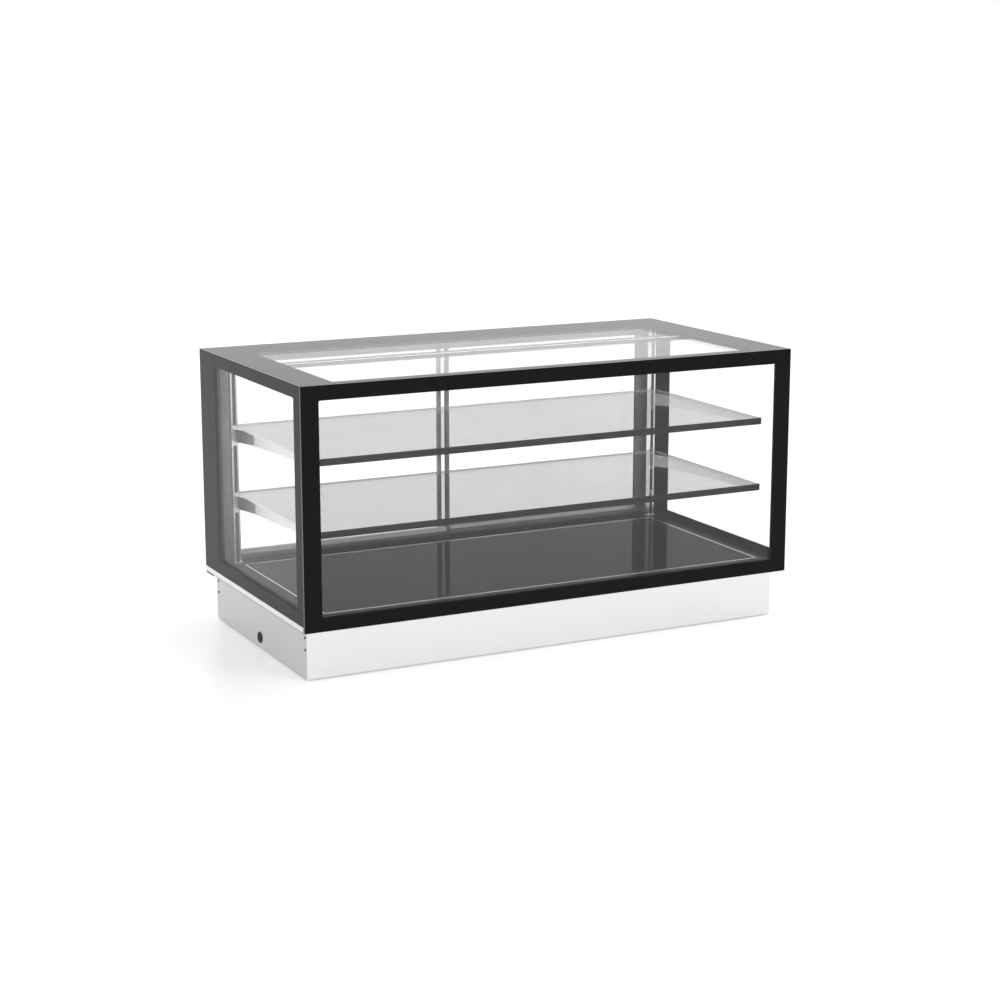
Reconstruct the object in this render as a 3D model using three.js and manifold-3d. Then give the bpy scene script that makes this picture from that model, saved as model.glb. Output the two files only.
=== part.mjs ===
// Hot food display case: a counter-top glass case with a heated glass-ceramic deck, two glass
// shelves with lights, sliding rear doors and a stainless plinth that holds the controls.
//
// Millimetres, +Z up, +X to the right seen from the customer's side, -Y towards the customer.
// The origin is on the table, under the middle of the case.

import * as THREE from 'three';
import { mergeVertices } from 'three/addons/utils/BufferGeometryUtils.js';
import Module from 'manifold-3d';

const wasm = await Module();
wasm.setup();

// ---------------------------------------------------------------- driving dimensions

const WIDTH = 1350;
const DEPTH = 695;
const HEIGHT = 713;
const GAP = 0.3; // clearance between pieces that touch
const RIGHT = WIDTH / 2;
const FRONT = -DEPTH / 2;
const REAR = DEPTH / 2;

const PANE = 8; // outer glass
const BAND = 1; // black enamel band behind the glass
const BAND_FRONT_SIDE = 45;
const BAND_FRONT_TOP = 36;
const BAND_FRONT_BOTTOM = 34;
const BAND_SIDE_REAR = 107;
const BAND_SIDE_BOTTOM = 33;
const BAND_SIDE_TOP = 32;
const BAND_TOP_SIDE = 94;
const BAND_TOP_REAR = 90;
const BAND_CORNER = 4;

const SHEET = 1.5; // folded stainless sheet
const FOOT_HEIGHT = 2.7; // rubber under the base pan
const FOOT_SOLE = 17;
const FOOT_RADIUS = 19;
const FOOT_CHAMFER = 1.2;
const FOOT_STUD = 4;
const FOOT_STUD_TOP = 12;
const FOOT_X = 600;
const FOOT_YS = { front: -262, rear: 270 };
const FLANGE_OPENING = { x: [-600, 600], y: [-300, 220], corner: 10 };
const PLINTH_BOTTOM = 3;
const FLANGE_BOTTOM = 127;
const FLANGE_TOP = 140.7;
const DECK_TOP = 160;
const PLINTH_SIDE_INSET = 19;
const PLINTH_FRONT_INSET = 38;
const PLINTH_REAR_INSET = 29;
const PLINTH_RETURN = 28;
const GLAND_RADIUS = 14;
const GLAND_THREAD = 10;
const GLAND_HEAD = 2.6; // how far the head stands out of the panel
const GLAND_CHAMFER = 2;
const GLAND_NUT = 6;
const GLAND_TAIL = 12; // how far the thread reaches into the plinth
const GLAND_Y = 5.5;
const GLAND_Z = 28;
const VENT = { first: -560, count: 24, pitch: 14, half: 2, z: [40, 92] };
const CUT_REACH = 5; // how far a cutting solid passes a thin panel
const RAIL_DROP = 5; // height of the black rail under the flange
const TERMINAL = { inset: 110, length: 70, half: 24, ridge: 14, skirt: 10, shoulder: 12, height: 22 };

const CERAMIC_SIDE_INSET = 68;
const CERAMIC_FRONT_INSET = 40;
const CERAMIC_DEPTH = 535;
const CERAMIC_THICK = 4;
const CERAMIC_PROUD = 0.4;
const CERAMIC_CORNER = 1;
const TRIM_WIDTH = 3.2;
const TRIM_DEPTH = 6;
const TRIM_PROUD = 0.8;
const TRIM_INNER_CORNER = 1.8;
const HEATER = { insetX: 45, insetY: 40, thick: 6, corner: 12 };
const WOOL = { inset: 12, bottom: 26 }; // bottom: below the underside of the glass-ceramic

const DOOR_PLANE_FRONT = 307.5; // middle of the left door's track
const DOOR_PLANE_REAR = 323.5; // middle of the right door's track
const DOOR_THICK = 8;
const DOOR_GLASS = 5;
const DOOR_EDGE = 643;
const DOOR_OVERLAP = 14;
const STILE_WIDTH = 33; // of a door's outer stile
const MEETING_STILE_WIDTH = 11; // of the stile where the doors overlap
const STILE_SLOT = 8;
const DOOR_BOTTOM = 170;
const DOOR_TOP = 692;
const FRAME_WALL = 3.5;
const TRACK_TOP = 168.5;
const TRACK_GROOVE = 5;
const RAIL_HEIGHT = 28;
const RAIL_GROOVE = 24;
const POST_WIDTH = 20;
const DOOR_SIDE_GAP = 0.5; // clearance of a door to each side of its groove
const TRACK_HALF_GROOVE = 2.5;
const TONGUE_HALF = 2; // the glide's tongue runs in the sill's groove
const SHOE_HALF = 5.5;
const SHOE_HEIGHT = 12;
const SHOE_SEAT = 3.5; // bottom of the glass above the bottom of the door
const DOOR_GLASS_TOP = 2; // top of the glass below the top of the door
const GROOVE_HALF = DOOR_THICK / 2 + DOOR_SIDE_GAP;
const FRAME_FRONT = DOOR_PLANE_FRONT - GROOVE_HALF - FRAME_WALL;
const FRAME_REAR = DOOR_PLANE_REAR + GROOVE_HALF + FRAME_WALL;
const HANDLE_LENGTH = 140;
const HANDLE_HALF = 9;
const HANDLE_FOOT = 2.5;
const HANDLE_REACH = 14;

const UPRIGHT_X = 622;
const UPRIGHT_Y = 252.5;
const UPRIGHT_WIDTH = 18;
const UPRIGHT_DEPTH = 14;
const UPRIGHT_WALL = 2;
const UPRIGHT_TOP = 700;
const SLOT_PITCH = 25;
const SLOT_FIRST = 210;
const SLOT_COUNT = 19;
const SLOT_WIDTH = 4;
const SLOT_HEIGHT = 16;

const SHELF_GLASS = 6;
const SHELF_TOPS = { upper: 528.5, lower: 353.5 };
const SHELF_FRONT = FRONT + 56;
const SHELF_REAR = 236;
const SHELF_HALF = 626;
const STRIP_HEIGHT = 17;
const STRIP_DEPTH = 12;
const STRIP_WALL = 2;
const LENS_WIDTH = 8;
const STRIP_GROOVE = 4; // depth of the groove that holds a shelf's light
const LENS_SET_BACK = 0.5;
const LENS_END = 4; // from the end of the strip to the end of its light
const BRACKET_THICK = 3;
const ARM_NOSE = 12; // heights of a bracket's arm, from its front to the upright
const ARM_MIDDLE = { y: 100, height: 28 };
const ARM_ROOT = 42;
const ARM_CURVE = { front: [0, 22], rear: [190, 33] }; // [y, height] of the curve's handles
const ARM_SLOPE_START = 160;
const ARM_SLOPE_DROP = 6;
const HOOK_DEPTH = 5;
const HOOK_THICK = 3;
const HOOK_RISE = 2;
const HOOK_SLOT_DROP = 37.5; // lower hooked slot below the underside of the shelf
const PIN = { y: 190, drop: 16, radius: 3 };
const ARM_STEPS = 8; // steps in the curved lower edge of a bracket

const LIGHT_FRONT = 57.5;
const LIGHT_REAR = 82.5;
const LIGHT_HEIGHT = 13.7;
const LIGHT_HALF = 655;
const LIGHT_LENS_DEPTH = 7;
const LIGHT_STEPS = 5; // steps in the rounded front of the lens
const LIGHT_CHAMFER = [2, 3];

const CONTROL_X = 470; // middle of the control fascia on the back of the plinth
const CONTROL_Z = 65;
const CONTROL_WIDTH = 260;
const CONTROL_HEIGHT = 70;
const CONTROL_THICK = 3;
const KNOB_X = CONTROL_X + 70;
const KNOB_RADIUS = 20;
const KNOB_DEPTH = 18;
const KNOB_SOCKET = 12;
const KNOB_SKIRT = [3, 6]; // the skirt's cylinder and the end of its slope, from the fascia
const KNOB_GRIP = KNOB_RADIUS - 4;
const KNOB_CROWN = [1.5, 1.5];
const POINTER = { half: 1.2, start: 5, proud: 0.8, low: 3, inset: 3.6 };
const THERMOSTAT = { half: 22, depth: 30, halfHeight: 20, overlap: 2 };
const SHAFT_REACH = 10;
const SHAFT_RADIUS = 3;
const SHAFT_CLEARANCE = 1;
const FASCIA_CORNER = 6;
const SWITCH_X = CONTROL_X - 60;
const SWITCH_SPACING = 26;
const POCKET_HALF_X = 7;
const POCKET_HALF_Z = 11;
const POCKET_DEPTH = 5; // from the rockers' pivots to the back of their pockets
const SWITCH_WALL = 3;
const BEZEL_WIDTH = 2;
const BEZEL_PROUD = 2;
const SWITCH_DEPTH = 22;
const ROCKER_HALF_X = 6.5;
const ROCKER = { half: 10.2, back: 3, backHalf: 9, end: 3.2, middle: 1.6 };
const ROCKER_TILT = THREE.MathUtils.degToRad(7);

// ---------------------------------------------------------------- materials

const finish = (color, roughness, metalness, extra = {}) => () =>
  new THREE.MeshStandardMaterial({ color, roughness, metalness, ...extra });

const clearGlass = finish(0xdfe8e6, 0.05, 0, { transparent: true, opacity: 0.3 });
const blackEnamel = finish(0x161616, 0.12, 0);
const brushedSteel = finish(0xd4d4d2, 0.35, 1);
const anodised = finish(0xa9abac, 0.4, 1);
const blackProfile = finish(0x33343a, 0.45, 0.4);
const frostedLens = finish(0xf4f6f8, 0.6, 0);
const ceramic = finish(0x121315, 0.08, 0);
const heaterFoil = finish(0xb08a4a, 0.5, 0.6);
const mineralWool = finish(0xc9b679, 0.95, 0);
const rubber = finish(0x1a1a1a, 0.9, 0);
const nylon = finish(0xd9dad6, 0.6, 0);
const blackPlastic = finish(0x1d1d1f, 0.5, 0);
const whitePlastic = finish(0xe6e4dc, 0.55, 0);

// ---------------------------------------------------------------- geometry helpers

/** A block between two corners, in the case's frame. */
function block([x0, x1], [y0, y1], [z0, z1]) {
  const geometry = new THREE.BoxGeometry(x1 - x0, y1 - y0, z1 - z0);
  return geometry.translate((x0 + x1) / 2, (y0 + y1) / 2, (z0 + z1) / 2);
}

/** A closed outline through [a, b] points. */
function outline(points) {
  return new THREE.Shape(points.map(([a, b]) => new THREE.Vector2(a, b)));
}

/** A rectangle as a shape, with its corners rounded by radius when one is given. */
function rectangle([a0, a1], [b0, b1], radius = 0) {
  if (radius === 0) return outline([[a0, b0], [a1, b0], [a1, b1], [a0, b1]]);
  const shape = new THREE.Shape();
  const quarter = Math.PI / 2;
  shape.absarc(a1 - radius, b0 + radius, radius, -quarter, 0);
  shape.absarc(a1 - radius, b1 - radius, radius, 0, quarter);
  shape.absarc(a0 + radius, b1 - radius, radius, quarter, 2 * quarter);
  shape.absarc(a0 + radius, b0 + radius, radius, 2 * quarter, 3 * quarter);
  return shape;
}

/** A shape drawn in (a, b) and extruded by depth along the third axis. */
function extrude(shape, depth, curveSegments) {
  return new THREE.ExtrudeGeometry(shape, { depth, bevelEnabled: false, curveSegments });
}

const CORNER_STEPS = 3; // steps in a rounded corner
const HOLE_STEPS = 14; // steps in half a round hole

/** A shape in (X, Y), standing from z0 to z1. */
function risen(shape, [z0, z1], steps = CORNER_STEPS) {
  return extrude(shape, z1 - z0, steps).translate(0, 0, z0);
}

/** A shape in (Y, Z), running from x0 to x1. */
function alongX(shape, [x0, x1], steps = CORNER_STEPS) {
  const swap = new THREE.Matrix4().set(0, 0, 1, x0, 1, 0, 0, 0, 0, 1, 0, 0, 0, 0, 0, 1);
  return extrude(shape, x1 - x0, steps).applyMatrix4(swap);
}

/** A shape in (X, Z), running from y0 to y1. */
function alongY(shape, [y0, y1], steps = CORNER_STEPS) {
  return extrude(shape, y1 - y0, steps).rotateX(Math.PI / 2).translate(0, y1, 0);
}

/** A turned piece about +Y: the profile holds [radius, y] points. */
function turnedY(profile, segments, [x, y, z]) {
  const points = profile.map(([r, along]) => new THREE.Vector2(r, along));
  return new THREE.LatheGeometry(points, segments).translate(x, y, z);
}

/** The solid that joins and cuts work on, from a closed geometry. */
function solidOf(geometry) {
  const bare = geometry.clone();
  bare.deleteAttribute('normal');
  bare.deleteAttribute('uv');
  const merged = mergeVertices(bare, 1e-4);
  return new wasm.Manifold(new wasm.Mesh({
    numProp: 3,
    vertProperties: new Float32Array(merged.attributes.position.array),
    triVerts: new Uint32Array(merged.index.array),
  }));
}

/** The geometry of a solid that has been joined or cut. */
function geometryOf(solid) {
  const mesh = solid.getMesh();
  const geometry = new THREE.BufferGeometry();
  geometry.setAttribute('position', new THREE.BufferAttribute(mesh.vertProperties, 3));
  geometry.setIndex(new THREE.BufferAttribute(mesh.triVerts, 1));
  geometry.computeVertexNormals();
  return geometry;
}

/** The first geometry joined with the added ones, then cut by the removed ones. */
function shaped(base, { add = [], cut = [] }) {
  const joined = add.reduce((solid, piece) => solid.add(solidOf(piece)), solidOf(base));
  return geometryOf(cut.reduce((solid, piece) => solid.subtract(solidOf(piece)), joined));
}

/** A frame in a flat sheet: an outer rectangle with one rounded window. */
function windowFrame(outerA, outerB, innerA, innerB, radius = BAND_CORNER) {
  const shape = rectangle(outerA, outerB);
  shape.holes.push(rectangle(innerA, innerB, radius));
  return shape;
}

const SIDES = [['left', -1], ['right', 1]];

/** A span given from the middle outwards, placed on the side whose sign is given. */
const sideSpan = (sign, inner, outer) => (sign < 0 ? [-outer, -inner] : [inner, outer]);

const pieces = new THREE.Group();

/** Adds one named mesh to the group that is given. */
function place(name, geometry, material, group = pieces) {
  const mesh = new THREE.Mesh(geometry, material());
  mesh.name = name;
  group.add(mesh);
}

// ---------------------------------------------------------------- glass shell

const BEHIND_FRONT = FRONT + PANE + GAP; // back of the front pane
const INSIDE_BAND = BEHIND_FRONT + BAND + GAP; // clear of the front enamel band
const SIDE_INNER = RIGHT - PANE; // inner face of a side pane
const LINING = SIDE_INNER - BAND - 2 * GAP; // clear of a side enamel band
const UNDER_TOP = HEIGHT - PANE - GAP; // underside of the top pane
const CEILING = UNDER_TOP - BAND - GAP; // clear of the top enamel band
const GLASS_BOTTOM = FLANGE_TOP + GAP;

function addGlassShell() {
  const front = block([-RIGHT, RIGHT], [FRONT, FRONT + PANE], [FLANGE_BOTTOM, HEIGHT]);
  place('front_glass', front, clearGlass);
  for (const [side, sign] of SIDES) {
    const pane = block(sideSpan(sign, SIDE_INNER, RIGHT), [BEHIND_FRONT, REAR], [GLASS_BOTTOM, HEIGHT]);
    place(`${side}_side_glass`, pane, clearGlass);
  }
  const topHalf = SIDE_INNER - GAP;
  const top = block([-topHalf, topHalf], [BEHIND_FRONT, REAR], [HEIGHT - PANE, HEIGHT]);
  place('top_glass', top, clearGlass);
}

function addEnamelBands() {
  const front = windowFrame(
    [-LINING, LINING], [FLANGE_BOTTOM, UNDER_TOP],
    [BAND_FRONT_SIDE - RIGHT, RIGHT - BAND_FRONT_SIDE],
    [FLANGE_BOTTOM + BAND_FRONT_BOTTOM, HEIGHT - BAND_FRONT_TOP]);
  place('front_border_band', alongY(front, [BEHIND_FRONT, BEHIND_FRONT + BAND]), blackEnamel);
  for (const [side, sign] of SIDES) {
    const band = windowFrame(
      [INSIDE_BAND, REAR - GAP], [GLASS_BOTTOM, UNDER_TOP],
      [FRONT + BAND_FRONT_SIDE, REAR - BAND_SIDE_REAR],
      [GLASS_BOTTOM + BAND_SIDE_BOTTOM, HEIGHT - BAND_SIDE_TOP]);
    const span = sideSpan(sign, SIDE_INNER - GAP - BAND, SIDE_INNER - GAP);
    place(`${side}_border_band`, alongX(band, span), blackEnamel);
  }
  const top = windowFrame(
    [-LINING, LINING], [INSIDE_BAND, REAR - GAP],
    [BAND_TOP_SIDE - RIGHT, RIGHT - BAND_TOP_SIDE],
    [FRONT + BAND_FRONT_TOP, REAR - BAND_TOP_REAR]);
  place('top_border_band', risen(top, [UNDER_TOP - BAND, UNDER_TOP]), blackEnamel);
}

// ---------------------------------------------------------------- rear frame and uprights

const DECK_LEVEL = DECK_TOP + GAP; // what stands on the deck starts here

/** The head rail: two deep grooves that the doors lift into. */
function addTopRail() {
  const bottom = CEILING - RAIL_HEIGHT;
  const half = GROOVE_HALF;
  const roof = bottom + RAIL_GROOVE;
  const section = outline([
    [FRAME_FRONT, bottom], [DOOR_PLANE_FRONT - half, bottom],
    [DOOR_PLANE_FRONT - half, roof], [DOOR_PLANE_FRONT + half, roof],
    [DOOR_PLANE_FRONT + half, bottom], [DOOR_PLANE_REAR - half, bottom],
    [DOOR_PLANE_REAR - half, roof], [DOOR_PLANE_REAR + half, roof],
    [DOOR_PLANE_REAR + half, bottom], [FRAME_REAR, bottom],
    [FRAME_REAR, CEILING], [FRAME_FRONT, CEILING],
  ]);
  place('rear_top_rail', alongX(section, [-LINING, LINING]), anodised);
}

/** The sill track: a low profile with a groove for each door's glide. */
function addBottomTrack() {
  const groove = TRACK_HALF_GROOVE;
  const floor = TRACK_TOP - TRACK_GROOVE;
  const section = outline([
    [FRAME_FRONT, DECK_LEVEL], [FRAME_REAR, DECK_LEVEL], [FRAME_REAR, TRACK_TOP],
    [DOOR_PLANE_REAR + groove, TRACK_TOP], [DOOR_PLANE_REAR + groove, floor],
    [DOOR_PLANE_REAR - groove, floor], [DOOR_PLANE_REAR - groove, TRACK_TOP],
    [DOOR_PLANE_FRONT + groove, TRACK_TOP], [DOOR_PLANE_FRONT + groove, floor],
    [DOOR_PLANE_FRONT - groove, floor], [DOOR_PLANE_FRONT - groove, TRACK_TOP],
    [FRAME_FRONT, TRACK_TOP],
  ]);
  const half = LINING - POST_WIDTH - GAP;
  place('rear_bottom_track', alongX(section, [-half, half]), anodised);
}

function addRearPosts() {
  const top = CEILING - RAIL_HEIGHT - GAP;
  for (const [side, sign] of SIDES) {
    const post = rectangle(sideSpan(sign, LINING - POST_WIDTH, LINING), [FRAME_FRONT, FRAME_REAR]);
    const hollow = sideSpan(sign, LINING - POST_WIDTH + UPRIGHT_WALL, LINING - UPRIGHT_WALL);
    post.holes.push(rectangle(hollow, [FRAME_FRONT + UPRIGHT_WALL, FRAME_REAR - UPRIGHT_WALL]));
    place(`rear_${side}_post`, risen(post, [DECK_LEVEL, top]), anodised);
  }
}

/** A slotted channel, open to the back, that the shelf brackets hook into. */
function addUprights() {
  const front = UPRIGHT_Y - UPRIGHT_DEPTH / 2;
  const rear = UPRIGHT_Y + UPRIGHT_DEPTH / 2;
  const half = UPRIGHT_WIDTH / 2;
  for (const [side, sign] of SIDES) {
    const x = sign * UPRIGHT_X;
    const channel = outline([
      [x - half, front], [x + half, front], [x + half, rear], [x + half - UPRIGHT_WALL, rear],
      [x + half - UPRIGHT_WALL, front + UPRIGHT_WALL], [x - half + UPRIGHT_WALL, front + UPRIGHT_WALL],
      [x - half + UPRIGHT_WALL, rear], [x - half, rear],
    ]);
    const slots = Array.from({ length: SLOT_COUNT }, (_, index) => {
      const z = SLOT_FIRST + index * SLOT_PITCH;
      const span = [z - SLOT_HEIGHT / 2, z + SLOT_HEIGHT / 2];
      const slot = rectangle([x - SLOT_WIDTH / 2, x + SLOT_WIDTH / 2], span);
      return alongY(slot, [front - 1, front + UPRIGHT_WALL + 1]);
    });
    const upright = shaped(risen(channel, [DECK_LEVEL, UPRIGHT_TOP]), { cut: slots });
    place(`${side}_shelf_upright`, upright, brushedSteel);
  }
}

// ---------------------------------------------------------------- shelves and lights

/** A cantilever bracket that hangs by two hooks in the upright's slots. */
function bracketGeometry(glassBottom, x) {
  const top = glassBottom - GAP;
  const web = UPRIGHT_Y - UPRIGHT_DEPTH / 2; // front face of the slotted web
  const back = web - GAP;
  const inside = web + UPRIGHT_WALL + GAP;
  const rest = SLOT_HEIGHT / 2 - GAP; // a hook rests on the bottom of its slot
  const hook = (z) => [
    [back, z - rest], [inside, z - rest], [inside, z - rest - HOOK_DEPTH],
    [inside + HOOK_THICK, z - rest - HOOK_DEPTH], [inside + HOOK_THICK, z + HOOK_RISE],
    [back, z + HOOK_RISE],
  ];
  const lowSlot = glassBottom - HOOK_SLOT_DROP;
  const nose = SHELF_FRONT + STRIP_DEPTH + STRIP_WALL;
  const [frontY, frontHeight] = ARM_CURVE.front;
  const [rearY, rearHeight] = ARM_CURVE.rear;
  const arm = new THREE.Shape();
  arm.moveTo(nose, top - ARM_NOSE);
  arm.quadraticCurveTo(frontY, top - frontHeight, ARM_MIDDLE.y, top - ARM_MIDDLE.height);
  arm.quadraticCurveTo(rearY, top - rearHeight, back, top - ARM_ROOT);
  hook(lowSlot).forEach(([y, z]) => arm.lineTo(y, z));
  hook(lowSlot + SLOT_PITCH).forEach(([y, z]) => arm.lineTo(y, z));
  arm.lineTo(back, top - ARM_SLOPE_DROP);
  arm.lineTo(ARM_SLOPE_START, top);
  arm.lineTo(nose, top);
  const pinHole = new THREE.Path();
  pinHole.absarc(PIN.y, top - PIN.drop, PIN.radius, 0, 2 * Math.PI);
  arm.holes.push(pinHole);
  return alongX(arm, [x - BRACKET_THICK / 2, x + BRACKET_THICK / 2], ARM_STEPS);
}

/** One shelf: glass, lit front strip with its lens, and two brackets. */
function addShelf(level, top) {
  const bottom = top - SHELF_GLASS;
  const low = top - STRIP_HEIGHT;
  const glassFront = SHELF_FRONT + STRIP_WALL + GAP;
  place(`${level}_shelf_glass`,
    block([-SHELF_HALF, SHELF_HALF], [glassFront, SHELF_REAR], [bottom, top]), clearGlass);

  const middle = SHELF_FRONT + STRIP_DEPTH / 2;
  const lensHalf = LENS_WIDTH / 2;
  const strip = outline([
    [SHELF_FRONT, low], [middle - lensHalf - GAP, low], [middle - lensHalf - GAP, low + STRIP_GROOVE],
    [middle + lensHalf + GAP, low + STRIP_GROOVE], [middle + lensHalf + GAP, low],
    [SHELF_FRONT + STRIP_DEPTH, low], [SHELF_FRONT + STRIP_DEPTH, bottom - GAP],
    [SHELF_FRONT + STRIP_WALL, bottom - GAP], [SHELF_FRONT + STRIP_WALL, top], [SHELF_FRONT, top],
  ]);
  place(`${level}_shelf_front_strip`, alongX(strip, [-SHELF_HALF, SHELF_HALF]), blackProfile);

  const lensSpan = [low + LENS_SET_BACK, low + STRIP_GROOVE - GAP];
  const lens = rectangle([middle - lensHalf, middle + lensHalf], lensSpan);
  const lensEnd = SHELF_HALF - LENS_END;
  place(`${level}_shelf_light_lens`, alongX(lens, [-lensEnd, lensEnd]), frostedLens);

  for (const [side, sign] of SIDES) {
    place(`${level}_shelf_${side}_bracket`, bracketGeometry(bottom, sign * UPRIGHT_X), brushedSteel);
  }
}

/** The ceiling light: a small profile under the top pane with a lens along its front. */
function addTopLight() {
  const bottom = CEILING - LIGHT_HEIGHT;
  const back = LIGHT_FRONT + LIGHT_LENS_DEPTH + GAP;
  const [small, large] = LIGHT_CHAMFER;
  const profile = outline([
    [back, bottom + small], [back + small, bottom],
    [LIGHT_REAR - large, bottom], [LIGHT_REAR, bottom + large],
    [LIGHT_REAR, CEILING], [back, CEILING],
  ]);
  place('top_light_profile', alongX(profile, [-LIGHT_HALF, LIGHT_HALF]), anodised);

  const lens = new THREE.Shape();
  const low = bottom + small;
  const high = CEILING - small;
  const radius = (high - low) / 2;
  lens.moveTo(LIGHT_FRONT + LIGHT_LENS_DEPTH, low);
  lens.lineTo(LIGHT_FRONT + LIGHT_LENS_DEPTH, high);
  lens.lineTo(LIGHT_FRONT + radius, high);
  lens.absarc(LIGHT_FRONT + radius, low + radius, radius, Math.PI / 2, 1.5 * Math.PI);
  const end = LIGHT_HALF - small;
  place('top_light_lens', alongX(lens, [-end, end], LIGHT_STEPS), frostedLens);
}

// ---------------------------------------------------------------- sliding doors

/** A solid stile with a slot for the glass on the side that the sign points to. */
function stileGeometry([x0, x1], plane, slotSign) {
  const half = DOOR_THICK / 2;
  const slot = DOOR_GLASS / 2 + GAP;
  const open = slotSign > 0 ? x1 : x0;
  const shut = slotSign > 0 ? x0 : x1;
  const deep = open - slotSign * STILE_SLOT;
  const section = outline([
    [shut, plane - half], [open, plane - half], [open, plane - slot], [deep, plane - slot],
    [deep, plane + slot], [open, plane + slot], [open, plane + half], [shut, plane + half],
  ]);
  return risen(section, [DOOR_BOTTOM, DOOR_TOP]);
}

/** A vertical finger pull: a flat foot on the stile and a lip that curls away from it. */
function handleGeometry(x, face, sign) {
  const pull = new THREE.Shape();
  const at = (across, out) => [x + sign * across, face + out];
  pull.moveTo(...at(-HANDLE_HALF, 0));
  pull.lineTo(...at(HANDLE_HALF, 0));
  pull.lineTo(...at(HANDLE_HALF, HANDLE_FOOT));
  pull.lineTo(...at(-3, HANDLE_FOOT));
  pull.quadraticCurveTo(...at(-6, 7), ...at(-1, HANDLE_REACH - 1.5));
  pull.lineTo(...at(-3.5, HANDLE_REACH));
  pull.quadraticCurveTo(...at(-HANDLE_HALF, 8), ...at(-HANDLE_HALF, 0));
  const middle = (DOOR_BOTTOM + DOOR_TOP) / 2;
  return risen(pull, [middle - HANDLE_LENGTH / 2, middle + HANDLE_LENGTH / 2]);
}

/** One door in its track: the sign is -1 for the left door and 1 for the right one. */
function addDoor(side, sign, plane) {
  const group = new THREE.Group();
  const outer = sideSpan(sign, DOOR_EDGE - STILE_WIDTH, DOOR_EDGE);
  const inner = sideSpan(-sign, DOOR_OVERLAP - MEETING_STILE_WIDTH, DOOR_OVERLAP);
  place(`${side}_door_outer_stile`, stileGeometry(outer, plane, -sign), anodised, group);
  place(`${side}_door_inner_stile`, stileGeometry(inner, plane, sign), anodised, group);

  const grip = STILE_SLOT - GAP;
  const glassOuter = DOOR_EDGE - STILE_WIDTH + grip;
  const glassInner = MEETING_STILE_WIDTH - DOOR_OVERLAP - grip;
  const glide = SHOE_HALF;
  const half = DOOR_GLASS / 2;
  const seat = DOOR_BOTTOM + SHOE_SEAT;
  const lip = DOOR_BOTTOM + SHOE_HEIGHT;
  const groove = TRACK_TOP - TRACK_GROOVE + GAP;
  const glassSpan = [seat + GAP, DOOR_TOP - DOOR_GLASS_TOP];
  const pane = block(sideSpan(sign, glassInner, glassOuter), [plane - half, plane + half], glassSpan);
  place(`${side}_door_glass`, pane, clearGlass, group);

  const shoe = outline([
    [plane - TONGUE_HALF, groove], [plane + TONGUE_HALF, groove],
    [plane + TONGUE_HALF, DOOR_BOTTOM], [plane + glide, DOOR_BOTTOM], [plane + glide, lip],
    [plane + half + GAP, lip], [plane + half + GAP, seat],
    [plane - half - GAP, seat], [plane - half - GAP, lip],
    [plane - glide, lip], [plane - glide, DOOR_BOTTOM], [plane - TONGUE_HALF, DOOR_BOTTOM],
  ]);
  const shoeInner = MEETING_STILE_WIDTH - DOOR_OVERLAP + GAP;
  const shoeSpan = sideSpan(sign, shoeInner, DOOR_EDGE - STILE_WIDTH - GAP);
  place(`${side}_door_glide_shoe`, alongX(shoe, shoeSpan), nylon, group);

  const handleX = sign * (DOOR_EDGE - STILE_WIDTH / 2);
  const face = plane + DOOR_THICK / 2 + GAP;
  place(`${side}_door_handle`, handleGeometry(handleX, face, sign), anodised, group);
  pieces.add(group);
}

// ---------------------------------------------------------------- heated deck

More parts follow.
